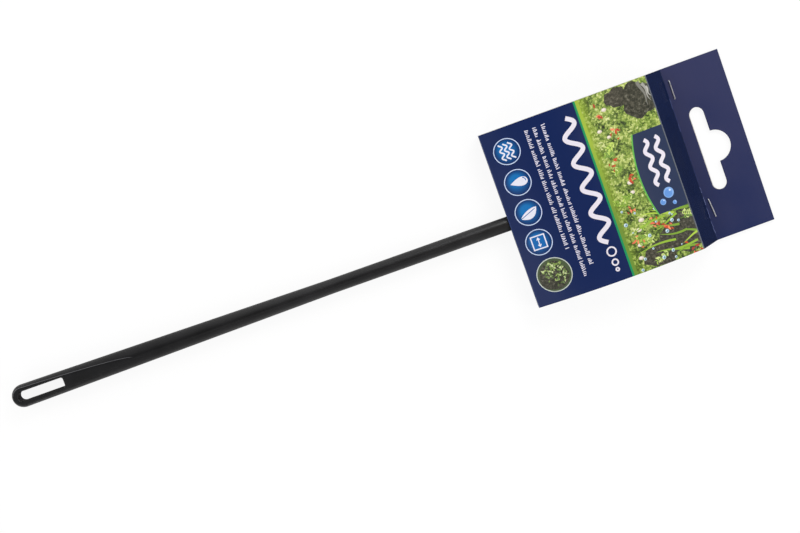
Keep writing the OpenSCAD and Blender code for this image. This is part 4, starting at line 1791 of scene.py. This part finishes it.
@dataclass
class Studio:
    """The camera at the photograph's angle, soft lamps and a pale table."""

    centre: tuple[float, float, float] = (8.321, -3.424, 5.0)
    distance: float = 621.0
    tilt: tuple[float, float] = (4.405, 2.027)
    roll: float = 19.437
    focal_px: float = 1282.4
    photo_px: int = 800
    roof: float = 0.07
    wall: float = 0.74
    lean: float = 0.12
    table_half: float = 1600.0
    table_z: float = -0.02
    warm: str = "ffe4d6"

    def camera(self) -> None:
        """Places the camera: its axes are the rows of Rx(tilt) Ry(tilt) Rz(roll)."""
        turn = Matrix.Identity(3)
        for degrees, axis in zip((*self.tilt, self.roll), "XYZ"):
            turn @= Matrix.Rotation(math.radians(degrees), 3, axis)
        lens = bpy.data.cameras.new("camera")
        lens.sensor_width = 36.0
        lens.lens = self.focal_px / self.photo_px * lens.sensor_width
        lens.clip_start, lens.clip_end = 0.02, 20.0
        made = bpy.data.objects.new("camera", lens)
        axes = turn.transposed()
        place = (Vector(self.centre) + self.distance * axes.col[2]) * MM
        made.matrix_world = Matrix.Translation(place) @ axes.to_4x4()
        bpy.context.scene.collection.objects.link(made)
        bpy.context.scene.camera = made

    def lamp(self, name: str, place: tuple[float, float, float], size: tuple[float, float],
             power: float, colour: str = "ffffff") -> None:
        """Adds a soft lamp that looks at the card.

        Args:
            name: The lamp's name.
            place: Where it hangs, in metres.
            size: Its width and height in metres.
            power: Its power in watts.
            colour: Its colour.
        """
        light = bpy.data.lights.new(name, "AREA")
        light.shape = "RECTANGLE"
        light.size, light.size_y = size
        light.energy = power
        light.color = linear(colour)[:3]
        made = bpy.data.objects.new(name, light)
        made.location = place
        look = Vector((0.05, 0.0, 0.0)) - Vector(place)
        made.rotation_euler = look.to_track_quat("-Z", "Y").to_euler()
        bpy.context.scene.collection.objects.link(made)

    def tent(self) -> None:
        """Makes the white tent round the table: its walls are bright and its roof is dim.

        The strength is (roof + (wall - roof) (1 - z^2)) (1 + lean y), with y and z those of the
        direction. The camera itself sees plain white.
        """
        world = bpy.data.worlds.new("light tent")
        world.use_nodes = True
        g = Graph(world.node_tree)
        way = g.add("SeparateXYZ", {"Vector": g.add("TexCoord", out="Generated")}).node.outputs
        square = g.add("Math", {0: way["Z"], 1: way["Z"]}, operation="MULTIPLY")
        side = g.add("Math", {0: way["Y"], 1: self.lean, 2: 1.0}, operation="MULTIPLY_ADD")
        glow = g.add("MapRange", {"Value": square, "To Min": self.wall, "To Max": self.roof})
        tilted = g.add("Math", {0: glow, 1: side}, operation="MULTIPLY")
        plain = g.add("Mix", {"Factor": g.add("LightPath", out="Is Camera Ray"), "A": tilted,
                              "B": 1.0})
        g.fill(g.tree.nodes["Background"], {"Color": (1.0, 1.0, 1.0, 1.0), "Strength": plain})
        bpy.context.scene.world = world

    def table(self) -> None:
        """Makes the white table. What the camera sees of it is mostly its own white and partly what
        falls on it, so that it stays pale and keeps the object's shadow. In a gloss it shows
        dimmer, as with dark flags held close round the object, and dimmest past the header."""
        x = np.linspace(-1, 1, 33) * self.table_half
        shell = Shell()
        shell.grid(stack(x[:, None], x, self.table_z))
        g = Finish("matt white table", "fbfbfb", 0.9).start()
        path = g.add("LightPath").node.outputs
        place = g.add("SeparateXYZ", {"Vector": g.add("TexCoord", out="Object")})
        flag = g.add("MapRange", {"Value": place, "From Min": 0.05, "From Max": 0.16,
                                  "To Min": 0.30, "To Max": 0.90})
        flagged = g.add("Math", {0: path["Is Glossy Ray"], 1: flag}, operation="MULTIPLY")
        share = g.add("Math", {0: path["Is Camera Ray"], 1: 0.9, 2: flagged},
                      operation="MULTIPLY_ADD")
        own = g.add("Emission", {"Color": (1.0, 1.0, 1.0, 1.0), "Strength": path["Is Camera Ray"]})
        lit = g.tree.nodes["Principled BSDF"].outputs[0]
        mixed = g.add("MixShader", {0: share, 1: lit, 2: own})
        g.fill(g.tree.nodes["Material Output"], {"Surface": mixed})
        shell.piece("table_top", [g.made], outward=False)

    def build(self) -> None:
        """Makes the camera, the lamps, the tent and the table."""
        self.camera()
        self.tent()
        self.lamp("softbox over the header", (0.52, 0.10, 1.20), (0.44, 0.34), 0.72, self.warm)
        self.lamp("small softbox over the header", (0.60, -0.22, 1.20), (0.16, 0.16), 0.13,
                  self.warm)
        self.lamp("softbox at the left", (-0.62, -0.24, 1.20), (0.30, 0.44), 0.26)
        self.lamp("strip in front", (0.0, -0.40, 1.20), (1.30, 0.26), 0.36)
        self.lamp("softbox by the card", (0.45, 0.62, 0.60), (0.5, 0.4), 3.0)
        for x, side in ((-1.15, "left"), (1.05, "right")):
            for y, depth in ((-0.75, "near"), (0.75, "far")):
                self.lamp(f"corner softbox {side} {depth}", (x, y, 0.85), (0.8, 0.8), 6.2)
        self.table()
        scene = bpy.context.scene
        scene.view_settings.view_transform = "Standard"


def main() -> None:
    """Builds the studio and the object."""
    logging.basicConfig(level=logging.INFO, format="%(name)s: %(message)s")
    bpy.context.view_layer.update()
    Studio().build()
    finishes = Finishes()
    Handle().build(finishes.handle)
    Card(finishes).build()
    NetHead(finishes).build()


if __name__ == "__main__":
    main()
